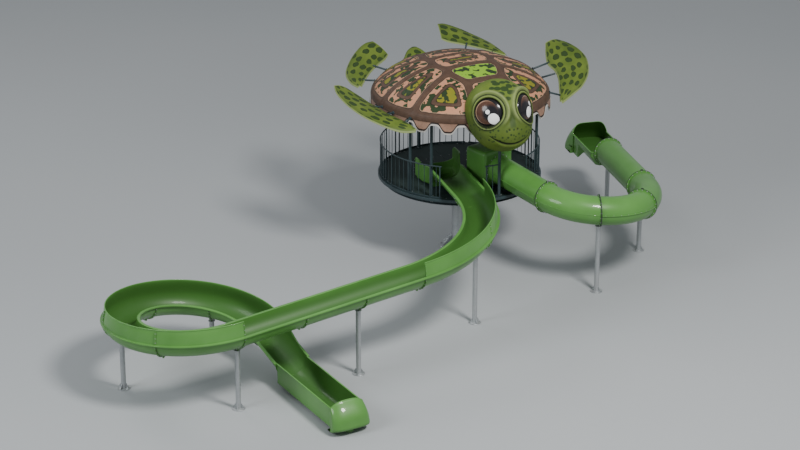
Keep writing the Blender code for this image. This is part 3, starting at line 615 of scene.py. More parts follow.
def flume_joint(shape, place, length, at_end, walled, lug):
    """The flange at one end of a flume section, with its bolts and the lug under it."""
    thick, depth = 0.011, 0.040
    s, face, out = joint_ends(length, thick, at_end)

    def bolt(u, w, size):
        shape.bolt(spot_on(place, face, u, w), ahead_at(place, s) * out, size)

    plate_along(shape, place, s, round_line(FLUME_RO, 3.0, 177.0, 32), depth, thick)
    bolt_r = FLUME_RO + depth * 0.55
    for k in range(11):
        if not (lug and k == 5):
            a = math.radians(12 + 15.6 * k)
            bolt(bolt_r * math.cos(a), -bolt_r * math.sin(a), 0.010)
    if walled:
        high = SPLASH_H * 0.93
        line = [(FLUME_RI + 0.014 - LEAN * t ** 1.25 * 0.86, high * t, 0.98, 0.18)
                for t in (0.94 - 0.86 * k / 8 for k in range(9))]
        plate_along(shape, place, s, line, 0.030, thick)
        for t in (0.8, 0.45, 0.14):
            bolt(FLUME_RI + 0.030 - LEAN * t ** 1.25 * 0.86, high * t, 0.009)
    if lug:
        foot = -FLUME_RO - LUG_DROP
        outline = fillet([(-0.105, -0.452), (0.105, -0.452), (0.062, foot), (-0.062, foot)],
                         [0, 0, 0.02, 0.02])
        shape.loft([across(place, s + t, outline) for t in (0.0, thick)])
        bolt(0, -FLUME_RO - LUG_DROP * 0.55, 0.014)


def flume_piece(name, place, length, steps=2, splash=False, fade=False, first_lug=True):
    """A length of open flume. Splash gives it the raised outer wall, and fade lets that wall run out."""
    shape = Shape()
    walled = splash or fade
    rings = []
    for s in stations(length, steps):
        rise = max(0.03, 1 - smooth(0.0, 1.0, s / length)) if fade else float(splash)
        rings.append(across(place, s, flume_outline(rise)))
    shape.loft(rings)
    last = ARC + 8 if walled else ARC
    # How far each point lies inside the channel, for the gel coat's painted shade and duller coat.
    inner = [smooth(-2, 5, i) * smooth(last + 2, last - 5, i) for i in range(len(rings[0]))]
    flume_joint(shape, place, length, False, walled, first_lug)
    flume_joint(shape, place, length, True, splash, True)
    moulded(name + "_moulding", shape, name, inner=inner * len(rings))


def tube_joint(shape, place, length, at_end):
    """The flange ring at one end of a tube section with its bolts, and at its end the clamp band."""
    thick, depth, root, soft = 0.012, COLLAR, -0.006, 0.003
    s, face, out = joint_ends(length, thick, at_end)
    line = round_line(TUBE_RO, 0, 360, 72)[:-1]

    def hoop(start, outline, paint=0):
        shape.loft([[spot_on(place, start + t, u + nu * d, w + nw * d) for d, t in outline]
                    for u, w, nu, nw in line], paint, round_row=True)

    hoop(s, ((root, 0), (depth - soft, 0), (depth, soft), (depth, thick - soft), (depth - soft, thick),
             (root, thick)))
    bolt_r = TUBE_RO + depth * 0.52
    for k in range(18):
        a = 2 * math.pi * (k + 0.5) / 18
        shape.bolt(spot_on(place, face, bolt_r * math.cos(a), bolt_r * math.sin(a)),
                   ahead_at(place, s) * out, 0.010)
    if not at_end:
        return
    hoop(length, ((depth - 0.001, -0.014), (depth + 0.004, -0.014), (depth + 0.007, -0.010),
                  (depth + 0.007, 0.010), (depth + 0.004, 0.014), (depth - 0.001, 0.014)), 2)
    ahead, heading = ahead_at(place, length), place(length)[1]
    for up in (-1, 1):
        at = spot_on(place, length, 0, up * (TUBE_RO + depth + 0.022))
        turn = Matrix.Translation(at) @ Matrix.Rotation(heading, 4, "Z")
        shape.block((0.030, 0.075, 0.036), turn, 0.006, 2)
        shape.bolt(at + ahead * 0.015, ahead, 0.011)


def tube_piece(name, place, length, nodes, steps=2, ledge=0.0):
    """A length of tube. A ledge is the bolted seam along both its sides where it has two halves."""
    shape = Shape()
    outline = [(TUBE_RO * c, TUBE_RO * s) for c, s in circle(72)]
    inner = [(u * (1 - TUBE_T / TUBE_RO), w * (1 - TUBE_T / TUBE_RO)) for u, w in outline]
    spots = stations(length, steps)
    shape.loft([across(place, s, outline) for s in spots]
               + [across(place, s, inner) for s in reversed(spots)], round_row=True)
    tube_joint(shape, place, length, False)
    tube_joint(shape, place, length, True)
    for side in (-1, 1) if ledge else ():
        root, edge, thick = TUBE_RO - 0.004, TUBE_RO + ledge, 0.010
        section = fillet([(root, -thick), (edge, -thick), (edge, thick), (root, thick)],
                         [0, 0.004, 0.004, 0], 3)
        shape.loft([across(place, 0.016 + (length - 0.032) * k / steps, [(side * r, t) for r, t in section])
                    for k in range(steps + 1)])
        bolts = int(length / 0.18) if ledge > 0.015 else 0
        for k in range(bolts):
            s = 0.1 + (length - 0.2) * k / (bolts - 1)
            shape.bolt(spot_on(place, s, side * (TUBE_RO + ledge * 0.6), thick), UP, 0.007)
    moulded(name + "_moulding", shape, *nodes, paints=(GREEN, BOLT, RUBBER))


def rounded_foot(shape, at, top):
    """A short round foot with a flared pad."""
    shape.turned([(0.112, 0), (0.125, 0.012), (0.125, 0.03), (0.112, 0.045), (0.104, top * 0.6),
                  (0.112, top)], (at.x, at.y, 0), sides=40)


CHANNEL = 40            # segments across the trough's channel


def hooked_lip(half, rim, thick, reach, hang, depth):
    """The turned-down lip of a trough's right side, from its outer top corner to the wall's outside."""
    return [(half + reach, rim), (half + reach, rim - hang), (half + reach - depth, rim - hang),
            (half + reach - depth, rim - 0.012), (half + thick, rim - 0.012)]


def trough_outline(half, depth, foot, power):
    """A trough with turned-down lips. Its channel is a half round at power 1 and gets flatter below it."""
    points = mirrored(hooked_lip(half, 0, 0.02, 0.045, 0.035, 0.008) + [(half + 0.02, foot)])
    points += [(-half, 0), (-half, -0.05), (half, -0.05), (half, 0)]
    radii = [0.012, 0.004, 0.003, 0.003, 0.01, 0.07]
    outline = fillet(points, radii + radii[::-1] + [0.012, 0, 0, 0.012], 6)
    channel = []
    for k in range(1, CHANNEL):
        a = math.pi * k / CHANNEL
        u = math.copysign(abs(math.cos(a)) ** power, -math.cos(a))
        channel.append((half * u, -0.05 - (depth - 0.05) * math.sin(a) ** power))
    return outline[:-8] + channel + outline[-8:]


NOSE_SIDE = ((0.0, 0.15), (0.2, 0.55), (0.45, 0.86), (0.7, 0.98), (0.87, 1.0), (1.0, 0.62))
BOXY_SIDE = ((0.0, 0.12), (0.2, 0.40), (0.45, 0.68), (0.7, 0.88), (0.9, 1.0), (1.0, 0.97))


class NoseForm:
    """The rounded bucket that closes a run-out: its side line, the arch of its top edge and its plan."""

    def __init__(self, half, rim, foot, reach, side, crown, power, square):
        self.half, self.rim, self.foot, self.reach, self.crown = half, rim, foot, reach, crown
        self.side, self.power, self.square = curve_through(side, 4), power, square

    def rows(self, place, start, inset, low):
        """Rows of points from the top edge down to a height, then in across the floor."""
        count, cols, flared = 22, 44, 0.10
        out = []
        for t0 in [*np.linspace(0, 1, count), 1.5, 2.0]:
            row = []
            for c in range(cols + 1):
                a = math.pi * (1 - c / cols)
                q = math.copysign(abs(math.cos(a)) ** self.square, math.cos(a))
                depth = abs(math.sin(a)) ** self.square
                edge = self.rim + self.crown * (1 - abs(q) ** self.power)
                z = edge + (low - edge) * min(t0, 1.0)
                t = min((edge - z) / (edge - self.foot), 1.0)
                share = float(np.interp(t, self.side[:, 0], self.side[:, 1]))
                if t0 > 1:
                    share *= 2.03 - t0
                flare = flared * math.sin(math.pi / 2 * min(1.0, t + 0.1)) * min(1.0, depth * 1.6)
                s = start + max(self.reach * share - inset, 0.004) * depth + GAP / 2
                point = spot_on(place, s, -(self.half + 0.05 + flare - inset) * q, 0)
                point.z = z
                row.append(point)
            out.append(row)
        return out


def nose_piece(name, place, start, form, node, floor, foot_at=None):
    """A run-out's nose: an outer and an inner skin with a rolled edge between them."""
    shape = Shape()
    outer = form.rows(place, start, 0.0, form.foot)
    inner = form.rows(place, start, 0.022, floor)
    bead = []
    for a in (math.pi * k / 6 for k in range(1, 6)):
        bead.append([(i + o) / 2 + (i - o) / 2 * -math.cos(a) + Vector((0, 0, 0.014 * math.sin(a)))
                     for o, i in zip(outer[0], inner[0])])
    rows = outer[::-1] + bead + inner
    n, total = len(rows[0]), len(rows)
    shape.loft(rows, round_ring=False, caps=False)
    faces = []
    for first in (0, n - 1):
        for k in range(total // 2):
            corners = [first + n * row for row in (k, k + 1, total - 2 - k, total - 1 - k)]
            faces.append(list(dict.fromkeys(corners)))
    base = (total - 1) * n
    faces = [f for f in faces if len(f) > 2]
    faces += [[i, i + 1, base + i + 1, base + i] for i in range(n - 1)]
    shape.faces += faces
    shape.paints += [0] * len(faces)
    if foot_at is not None:
        rounded_foot(shape, foot_at, form.foot + 0.012)
    # The nose's inner skin takes the channel's full painted shade.
    deep = [0.0] * (n * (len(outer) + len(bead))) + [1.0] * (n * len(inner))
    moulded(name, shape, node, sharp=50, inner=deep)


# Open flume
flume = Route(-0.429, -1.228, START_Z, -69.19)
flume_joints = []


def flume_section(name, length, fall, fall_end=None, next_fall=None, radius=None, **looks):
    """One section of the flume. The joint at its end keeps the fall that follows, for its support."""
    place = flume.section(length, fall, fall_end, radius)
    flume_piece(name, place, length, **looks)
    flume_joints.append((flume.at.copy(), next_fall, flume.heading))


TUB_SPOT, TUB_HEADING = flume.at.copy(), flume.heading
flume_section("flume_straight_1", 1.902, 0.070, first_lug=False)
for number, next_fall in ((1, BEND_FALL), (2, STRAIGHT_FALL)):
    flume_section(f"flume_bend_{number}", BEND_R * math.radians(BEND_TURN) / 2, BEND_FALL, None,
                  next_fall, BEND_R, steps=20, splash=True)
for number, next_fall in ((2, STRAIGHT_FALL), (3, STRAIGHT_FALL), (4, LOOP_FALL)):
    flume_section(f"flume_straight_{number}", STRAIGHT_LENGTH / 3, STRAIGHT_FALL, None, next_fall)
loop_falls = [LOOP_FALL + (DROP_FALL - LOOP_FALL) * k / 5 for k in range(6)]
for number in range(5):
    fall, next_fall = loop_falls[number:number + 2]
    flume_section(f"flume_loop_{number + 1}", LOOP_R * math.radians(LOOP_TURN) / 5, fall, next_fall,
                  next_fall, LOOP_R, steps=24, splash=True)
flume_section("flume_drop", 1.471, DROP_FALL, steps=16, fade=True)


def runout_trough(place, rim):
    """The open run-out on the ground, whose half round flattens out over its first 1.3 m, and its nose."""
    shape = Shape()
    full = rim - TROUGH_Z - 0.03
    rings = []
    for s in stations(TROUGH_LENGTH, 36):
        flat = smooth(0.0, 1.3, s)
        depth = FLUME_RI + (full - FLUME_RI) * flat
        rings.append(across(place, s, trough_outline(TROUGH_HALF, depth, TROUGH_Z - rim, 1.0 - 0.66 * flat)))
    shape.loft(rings)
    rounded_foot(shape, place(0.35)[0], TROUGH_Z + 0.01)
    inner = depth_field(len(rings[0]), CHANNEL + 15) * len(rings)
    moulded("runout_trough_moulding", shape, "runout_trough", inner=inner)
    form = NoseForm(TROUGH_HALF, rim, TROUGH_Z, 0.47, NOSE_SIDE, 0.15, 3, 0.55)
    nose_piece("runout_nose_moulding", place, TROUGH_LENGTH, form, "runout_nose", TROUGH_Z + 0.025,
               place(TROUGH_LENGTH + 0.16)[0])


trough_rim = flume.at.z
runout_trough(flume.section(TROUGH_LENGTH, 0.0), trough_rim)


def entry_tub():
    """The high-sided tub where riders sit down, with a low back and a floor that rises to the flume's."""
    shape = Shape()
    place = Route(TUB_SPOT.x, TUB_SPOT.y, 0, math.degrees(TUB_HEADING)).section(1.0, 0.0)
    floor = DECK_Z + GAP
    steps, channel = 40, 40
    rings, deep = [], []
    for k in range(steps + 1):
        s = -1.0 + (1.0 - GAP) * k / steps
        half = FLUME_RI + 0.14 * smooth(-0.10, -0.55, s)
        seat = floor + 0.025 + 0.105 * smooth(-0.55, 0.0, s)
        corner = 0.09 * (1 - smooth(-1.0, -0.86, s)) ** 2
        right = DECK_Z + (0.59 + 0.24 * smooth(-0.08, -0.34, s) - corner)
        left = DECK_Z + (0.59 + 0.07 * smooth(-0.45, -0.75, s) - corner)
        outline = hooked_lip(half, right, 0.02, 0.05, 0.03, 0.01) + [(half + 0.02, floor)]
        other = hooked_lip(half, left, 0.02, 0.05, 0.03, 0.01) + [(half + 0.02, floor)]
        outline += [(-u, w) for u, w in reversed(other)]
        outline += [(-half, left), (-half, seat), (half, seat), (half, right)]
        radii = [0.012, 0.004, 0.003, 0.003, 0.008, 0.11]
        rings.append(across(place, s, fillet(outline, radii + radii[::-1] + [0.014, 0.34, 0.34, 0.014], 9)))
        deep += depth_field(len(rings[0]), channel)
    shape.loft(rings)
    half, thick, base = FLUME_RI + 0.145, 0.034, 0.16
    back = []
    for k in range(33):
        u = -half + 2 * half * k / 32
        top = 0.36 + 0.16 * abs(u / half) ** 5
        out = -1.0 + 0.10 * abs(u / half) ** 4
        section = fillet([(out, 0.0), (out, top), (out + thick, top), (out + thick, base),
                          (out + base, 0.024), (out + base, 0.0)], [0, 0.016, 0.016, 0.12, 0.05, 0], 6)
        back.append([spot_on(place, s, u, floor + w) for s, w in section])
    shape.loft(back)
    # The tub's back wall takes three quarters of the channel's painted shade.
    deep += [0.75] * (len(back) * len(back[0]))
    moulded("entry_tub_moulding", shape, "entry_tub", inner=deep)


entry_tub()


# Tube slide
tube = Route(0.86, -0.913, START_Z, -51.5)
MOUTH, MOUTH_HEADING = tube.section(HIDDEN_LENGTH, TUBE_FALL)(HIDDEN_LENGTH)


def temporary(name, work):
    """An object that is only there to be cut, or to cut another."""
    mesh = bpy.data.meshes.new(name)
    work.to_mesh(mesh)
    work.free()
    return placed(name, mesh)


def carved(first, *cutters):
    """The mesh that is left of one object when the others are cut from it. All of them are removed."""
    for cutter in cutters:
        mod = first.modifiers.new("cut", "BOOLEAN")
        mod.operation = "DIFFERENCE"
        mod.solver = "EXACT"
        mod.object = cutter
    graph = bpy.context.evaluated_depsgraph_get()
    mesh = bpy.data.meshes.new_from_object(first.evaluated_get(graph))
    for obj in (first, *cutters):
        bpy.data.objects.remove(obj, do_unlink=True)
    return mesh


def start_box():
    """The tube's start: a rounded box, open at the back, with the tube's hole in its front."""
    ahead = Vector((math.cos(MOUTH_HEADING), math.sin(MOUTH_HEADING), 0))
    spin = Matrix.Rotation(MOUTH_HEADING, 4, "Z")
    low, high = DECK_Z + GAP, DECK_Z + BOX_HEIGHT
    centre = MOUTH - ahead * (BOX_LENGTH / 2 + GAP)
    centre.z = (low + high) / 2
    open_back = 0.2
    outer = temporary("box_outer", rounded_box(
        (BOX_LENGTH, BOX_WIDTH, high - low), Matrix.Translation(centre) @ spin, 0.11, 8))
    inner = temporary("box_inner", rounded_box(
        (BOX_LENGTH + 2 * open_back - 0.07, BOX_WIDTH - 2 * BOX_WALL, high - low - 2 * BOX_WALL),
        Matrix.Translation(centre - ahead * open_back) @ spin, 0.085, 8))
    hole = bmesh.new()
    bore = TUBE_RO - TUBE_T
    bmesh.ops.create_cone(hole, cap_ends=True, segments=72, radius1=bore, radius2=bore, depth=0.6)
    hole.transform(Matrix.Translation(MOUTH) @ ahead.to_track_quat("Z", "Y").to_matrix().to_4x4())
    shape = Shape()
    shape.take(carved(outer, inner, temporary("box_hole", hole)))
    back_centre = centre - ahead * (BOX_LENGTH / 2)
    for u in (-1, 1):
        for k in range(4):
            at = back_centre + spin @ Vector((0.06, u * (BOX_WIDTH / 2 - 0.001), -0.42 + 0.28 * k))
            shape.bolt(at, spin @ Vector((0, u, 0)), 0.010)
    moulded("start_box_moulding", shape, "tube_start_box", sharp=32)


start_box()
tube_joints = []


def tube_section(name, length, fall, next_fall, steps=2, ledge=0.0, radius=None):
    """One section of the tube, in an upper and a lower half where it has a ledge."""
    nodes = (name + "_upper", name + "_lower") if ledge else (name,)
    tube_piece(name, tube.section(length, fall, radius=radius, turn=1), length, nodes, steps, ledge)
    tube_joints.append((tube.at.copy(), next_fall, tube.heading))


tube_section("tube_straight_1", 2.655 - HIDDEN_LENGTH, TUBE_FALL, TUBE_FALL, ledge=0.014)
for number, (radius, turn, fall, next_fall, ledge) in enumerate((
        (1.695, 57.1, TUBE_FALL, TUBE_FALL, 0.006), (1.669, 59.45, TUBE_FALL, 0.110, 0.030),
        (3.177, 40.04, 0.110, 0.0, 0.0)), 1):
    tube_section(f"tube_bend_{number}", radius * math.radians(turn), fall, next_fall, 28, ledge, radius)
tube_section("tube_straight_2", 2.963, 0.0, 0.0)


def skirted_outline(half, rim, floor, foot, corner):
    """A trough with a rounded floor whose side walls run on below it to a foot."""
    knee = half + 0.02 - max(0.0, corner - 0.07)
    low = max(foot, floor - 0.03)
    points = mirrored(hooked_lip(half, rim, 0.02, 0.045, 0.035, 0.008) + [
        (half + 0.02, floor + max(corner, 0.1)), (knee, foot), (knee - 0.018, foot),
        (knee - 0.02, low + 0.01)])
    points += [(-half, rim), (-half, floor + corner), (-half + corner, floor), (half - corner, floor),
               (half, floor + corner), (half, rim)]
    radii = [0.012, 0.004, 0.003, 0.003, 0.01, 0.12, 0.03, 0.006, 0.008]
    return fillet(points, radii + radii[::-1] + [0.012, *[corner * 0.7] * 4, 0.012], 5)


def tube_runout(place, axis_z):
    """The open run-out after the tube, which widens from the bore and ends in a deeper nose."""
    length, rim, floor, foot, steps = 1.75, 0.02, -TUBE_RO + TUBE_T, -0.62, 56
    shape = Shape()
    rings = []
    for k in range(steps + 1):
        s = GAP + (length - 1.5 * GAP) * k / steps
        deep = smooth(1.26, 1.33, s)
        half = 0.408 + 0.122 * smooth(-0.02, 0.13, s)
        low = floor - 0.03 + (foot - floor + 0.03) * deep
        rings.append(across(place, s, skirted_outline(half, rim, floor, low, 0.24 - 0.17 * deep)))
    shape.loft(rings)
    inner = depth_field(len(rings[0]), 36, 6) * len(rings)
    moulded("tube_runout_moulding", shape, "tube_runout", inner=inner)
    form = NoseForm(0.53, axis_z + rim, axis_z + foot, 0.80, BOXY_SIDE, 0.33, 6, 0.42)
    nose_piece("tube_runout_nose_moulding", place, length, form, "tube_runout_nose", axis_z + floor)


runout_axis = tube.at.z
tube_runout(tube.section(2.5, 0.0), runout_axis)


# Tower
FRAME_TOP = DECK_Z - DECK_T - GAP
FRAME_FOOT = FRAME_TOP - 0.18


def channel_outline(back, edge, low, top, thick):
    """A channel's section: an upright back with a flange at its top and foot that end at an edge."""
    web = back + math.copysign(thick, edge - back)
    return [(back, low), (edge, low), (edge, low + thick), (web, low + thick), (web, top - thick),
            (edge, top - thick), (edge, top), (back, top)]


def deck(shape):
    """Sixteen anti-slip sheets inside a folded edge channel."""
    low, top, sheets, seam, steps = DECK_Z - DECK_T, DECK_Z, 16, 0.003, 12
    there, back = range(steps + 1), range(steps, -1, -1)
    shape.ring(fillet([(DECK_R - 0.045, low), (DECK_R, low), (DECK_R, top), (DECK_R - 0.045, top),
                       (DECK_R - 0.045, top - 0.012), (DECK_R - 0.012, top - 0.012),
                       (DECK_R - 0.012, low + 0.012), (DECK_R - 0.045, low + 0.012)], 0.005, 3), 144)
    for k in range(sheets):
        rows = []
        for z, inset in ((top - 0.03, 0.0), (top - 0.006, 0.0), (top - 0.004, 0.002)):
            row = []
            for r, order in ((DECK_R - 0.047 - inset, there), (0.36 + inset, back)):
                for i in order:
                    a = 2 * math.pi * (k + i / steps) / sheets + (seam + inset) / r * (1 - 2 * i / steps)
                    row.append((r * math.cos(a), r * math.sin(a), z))
            rows.append(row)
        shape.loft(rows, 1)
    shape.turned([(0.353, top - 0.03), (0.353, top - 0.006), (0.350, top - 0.003)], sides=64, paint=1)
    shape.turned([(DECK_R - 0.05, low + 0.001), (DECK_R - 0.05, top - 0.012)], sides=144)
    for k in range(sheets * 2):
        for r in (1.4, 2.36) if k % 2 else (0.46, 1.4, 2.36):
            at = direction(360 * (k / 2 + 0.04 / r) / sheets) * r + UP * (top - 0.004)
            shape.turned([(0.011, 0), (0.011, 0.001), (0.007, 0.003)], at, sides=12, paint=2)


def deck_beams(shape):
    """Eight I-section beams on a hub drum with a rolled ring channel."""
    depth, thick, half, ring_r = 0.13, 0.012, 0.045, 2.28
    shape.turned([(0.50, FRAME_FOOT), (0.52, FRAME_FOOT + 0.004), (0.52, FRAME_FOOT + 0.02),
                  (0.49, FRAME_FOOT + 0.022), (0.49, FRAME_TOP - 0.022), (0.52, FRAME_TOP - 0.02),
                  (0.52, FRAME_TOP - 0.002), (0.51, FRAME_TOP)], sides=64)
    channel = channel_outline(ring_r, ring_r + 0.08, FRAME_TOP - depth, FRAME_TOP, thick)
    shape.ring(fillet(channel, 0.003, 2), 96)
    web = fillet([(-half, -depth), (half, -depth), (half, thick - depth), (0.005, thick - depth),
                  (0.005, -thick), (half, -thick), (half, 0), (-half, 0), (-half, -thick), (-0.005, -thick),
                  (-0.005, thick - depth), (-half, thick - depth)], 0.002, 1)
    for k in range(8):
        turn = spun(22.5 + 45 * k, 0, FRAME_TOP)
        shape.loft([[turn @ Vector((r, u, w)) for u, w in web] for r in (0.50, ring_r + 0.005)])
        for u in (-0.025, 0.025):
            for w in (-0.035, -0.095):
                shape.bolt(turn @ Vector((ring_r + thick, u, w)), turn.col[0].xyz, 0.009, 2)


def mast():
    """A pipe on a bolted base plate with eight gussets, under a head plate."""
    shape = Shape()
    base, pipe, head, plate = 0.62, 0.22, 0.50, 0.03
    top = FRAME_FOOT - GAP
    under = top - plate
    shape.turned([(base - 0.006, 0), (base, 0.006), (base, plate - 0.005), (base - 0.005, plate),
                  (pipe + 0.012, plate), (pipe + 0.004, plate + 0.005), (pipe, plate + 0.015),
                  (pipe, under - 0.012), (pipe + 0.004, under - 0.003), (pipe + 0.012, under),
                  (head - 0.005, under), (head, under + 0.005), (head, top - 0.004), (head - 0.004, top)],
                 sides=72)
    fin = fillet([(pipe - 0.01, 0.0), (base - 0.10, 0.0), (base - 0.10, 0.03), (pipe + 0.03, 0.30),
                  (pipe - 0.01, 0.30)], [0, 0.004, 0.01, 0.02, 0], 3)
    upper_fin = [(r * 0.72 + 0.05, -w * 0.6) for r, w in fin]
    for k in range(8):
        pressed(shape, spun(22.5 + 45 * k, 0, plate - 0.002), fin, 0.006)
        shape.bolt(spun(45 * k, base - 0.075, plate).translation, UP, 0.020)
        pressed(shape, spun(22.5 + 45 * k, 0, under + 0.002), upper_fin, 0.005)
    piece("mast_column", shape, (ZINC, BOLT), "galvanised_steel", ("tower_mast",))


def fence(number, first, last, end_bar=None):
    """Round bars between a tubular top rail and a flat foot rail, with square posts on bolted pads."""
    shape = Shape()
    angles = [BAR_PITCH * n for n in range(first, last + 1)]
    if end_bar:
        angles[-1] = BAR_PITCH * end_bar
    start, end = angles[0] - 1.2, angles[-1] + 1.2
    steps = max(4, int((end - start) / 1.5))
    foot, top, post = DECK_Z + GAP, DECK_Z + FENCE_H, FENCE_H - 0.03
    rail = fillet([(0.019, top - 0.036), (0.019, top), (-0.019, top), (-0.019, top - 0.036)], 0.014, 5)
    kick = fillet([(0.007, foot), (0.007, foot + 0.05), (-0.007, foot + 0.05), (-0.007, foot)], 0.003, 2)
    for outline in (rail, kick):
        rings = []
        for k in range(steps + 1):
            out = direction(start + (end - start) * k / steps)
            rings.append([out * (FENCE_R + u) + Vector((0, 0, w)) for u, w in outline])
        shape.loft(rings)
    for n, a in zip(range(first, last + 1), angles):
        if n % 4 == 3 or n in (first, last):
            shape.block((0.034, 0.034, post), spun(a, FENCE_R, foot + post / 2), 0.006)
            shape.block((0.09, 0.075, 0.008), spun(a, FENCE_R - 0.012, foot + 0.0045), 0.003)
            for u in (-0.027, 0.027):
                shape.bolt(spun(a, FENCE_R - 0.044, foot + 0.008) @ Vector((0, u, 0)), UP, 0.007)
        else:
            spot = direction(a) * FENCE_R
            shape.rod(spot + UP * (foot + 0.03), spot + UP * (top - 0.03), 0.0095, 12)
    piece(f"guard_{number}", shape, (TEAL, BOLT), "painted_steel", (f"fence_panel_{number}",))


def column(number, azimuth):
    """A round roof column with a base plate and a top plate, both bolted."""
    shape = Shape()
    low, high = DECK_Z + GAP, EAVE_Z - GAP
    tall = high - low
    foot = [(0.076, 0), (0.078, 0.002), (0.078, 0.010), (0.076, 0.012), (0.050, 0.012), (0.046, 0.016),
            (0.045, 0.022)]
    shape.turned(foot + [(r, tall - z) for r, z in reversed(foot)],
                 direction(azimuth) * COLUMN_R + UP * low, sides=36)
    for k in range(4):
        at = spun(azimuth, COLUMN_R, 0) @ (direction(45 + 90 * k) * 0.063)
        shape.bolt(at + UP * (low + 0.012), UP, 0.008)
        shape.bolt(at + UP * (high - 0.012), -UP, 0.008)
    piece(f"roof_post_{number}", shape, (TEAL, BOLT), "painted_steel", (f"roof_column_{number}",))


platform = Shape()
deck(platform)
deck_beams(platform)
piece("deck_platform", platform, (TEAL, GRIP, BOLT), "painted_steel", ("deck",))
mast()
for number, bars in enumerate(((-8, 5), (6, 18), (19, 31), (32, 44), (45, 57, 56.6), (-16, -14)), 1):
    fence(number, *bars)
for number, azimuth in enumerate(COLUMNS, 1):
    column(number, azimuth)


def support(name, node, joint, radius, lug):
    """A pipe column with a gusseted base plate and a forked head that takes the joint's lugs."""
    shape = Shape()
    spot, fall, heading = joint
    top = spot.z - radius - fall * 0.035 - GAP
    at = Matrix.Translation((spot.x, spot.y, 0))
    turn = math.degrees(heading)
    shape.turned([(0.176, 0), (0.18, 0.004), (0.18, 0.014), (0.176, 0.018), (POST_R + 0.010, 0.018),
                  (POST_R + 0.003, 0.022), (POST_R, 0.030), (POST_R, top - 0.030),
                  (POST_R + 0.003, top - 0.022), (0.094, top - 0.016), (0.098, top - 0.013),
                  (0.098, top - 0.003), (0.095, top)], at.translation, sides=40)
    fin = fillet([(POST_R - 0.006, 0), (0.16, 0), (0.16, 0.016), (POST_R + 0.014, 0.14),
                  (POST_R - 0.006, 0.14)], [0, 0.003, 0.006, 0.01, 0], 2)
    for k in range(4):
        pressed(shape, at @ spun(turn + 45 + 90 * k, 0, 0.016), fin, 0.004)
        shape.bolt((at @ spun(turn + 90 * k, 0.138, 0.018)).translation, UP, 0.013)
    ear = fillet([(-0.05, 0), (0.05, 0), (0.035, lug), (-0.035, lug)], [0, 0, 0.02, 0.02], 4)
    for side in (-1, 1):
        spin = at @ spun(turn, side * 0.019, top - 0.001)
        shape.loft([[spin @ Vector((t, u, w)) for u, w in ear] for t in (-0.004, 0.004)])
    piece(name, shape, (ZINC, BOLT), "galvanised_steel", (node,))


for slide, joints, under, lug in (
        ("flume", [flume_joints[k] for k in (1, 3, 5, 7, 9)], FLUME_RO + LUG_DROP, 0.07),
        ("tube", [tube_joints[k] for k in (1, 3, 4)], TUBE_RO + COLLAR, 0.04)):
    for number, joint in enumerate(joints, 1):
        support(f"{slide}_leg_{number}", f"{slide}_support_{number}", joint, under, lug)


# Roof
RIM_DROP = 0.12         # how far the shell's rim hangs below the columns' tops
RIM_R = 2.80            # where the plain brown rim starts
# Scutes in metres along the turtle's axis and to its left: five down the back and four pairs beside them
SCUTES = [(1.92, 0.0), (1.00, 0.0), (0.02, 0.0), (-0.95, 0.0), (-1.82, 0.0)]
SCUTES += [(x, side * y) for x, y in ((1.50, 1.34), (0.54, 1.70), (-0.50, 1.70), (-1.42, 1.34))
           for side in (1, -1)]
LIME = (1, 4)


def dome_point(share, clear=0.0):
    """Radius and height on the shell's outside, from 0 at the apex to 1 at the eave."""
    rise = (SHELL_H + RIM_DROP + clear) * (1 - share ** 2.1) ** 0.62
    return (EAVE_R + clear) * share, EAVE_Z - RIM_DROP + SHELL_BAND + rise


def dome_radius(z):
    """Radius of the shell's outside at a height over the eave."""
    rise = max(z + RIM_DROP - SHELL_BAND, 0.0) / (SHELL_H + RIM_DROP)
    return EAVE_R * (1 - rise ** (1 / 0.62)) ** (1 / 2.1)


def polar(radius, azimuth, z):
    """A point round the deck's axis: azimuth from the turtle's long axis, height from the eave."""
    a = math.radians(BODY_AZ + azimuth)
    return Vector((radius * math.cos(a), radius * math.sin(a), EAVE_Z + z))


def scute_field(x, y):
    """Distance to the nearest scute border, and whether the scute is a lime one."""
    own = min(range(len(SCUTES)), key=lambda i: (x - SCUTES[i][0]) ** 2 + (y - SCUTES[i][1]) ** 2)
    sx, sy = SCUTES[own]
    sharpness, far = 18, 1.2
    gaps = []
    for i, (ox, oy) in enumerate(SCUTES):
        if i != own:
            gap = (x - ox) ** 2 + (y - oy) ** 2 - (x - sx) ** 2 - (y - sy) ** 2
            gaps.append(gap / (2 * math.hypot(ox - sx, oy - sy)))
    gaps = [gap for gap in gaps if gap < far] + [RIM_R - math.hypot(x, y)]
    total = sum(math.exp(-sharpness * gap) for gap in gaps)
    return -math.log(total) / sharpness, float(own in LIME)


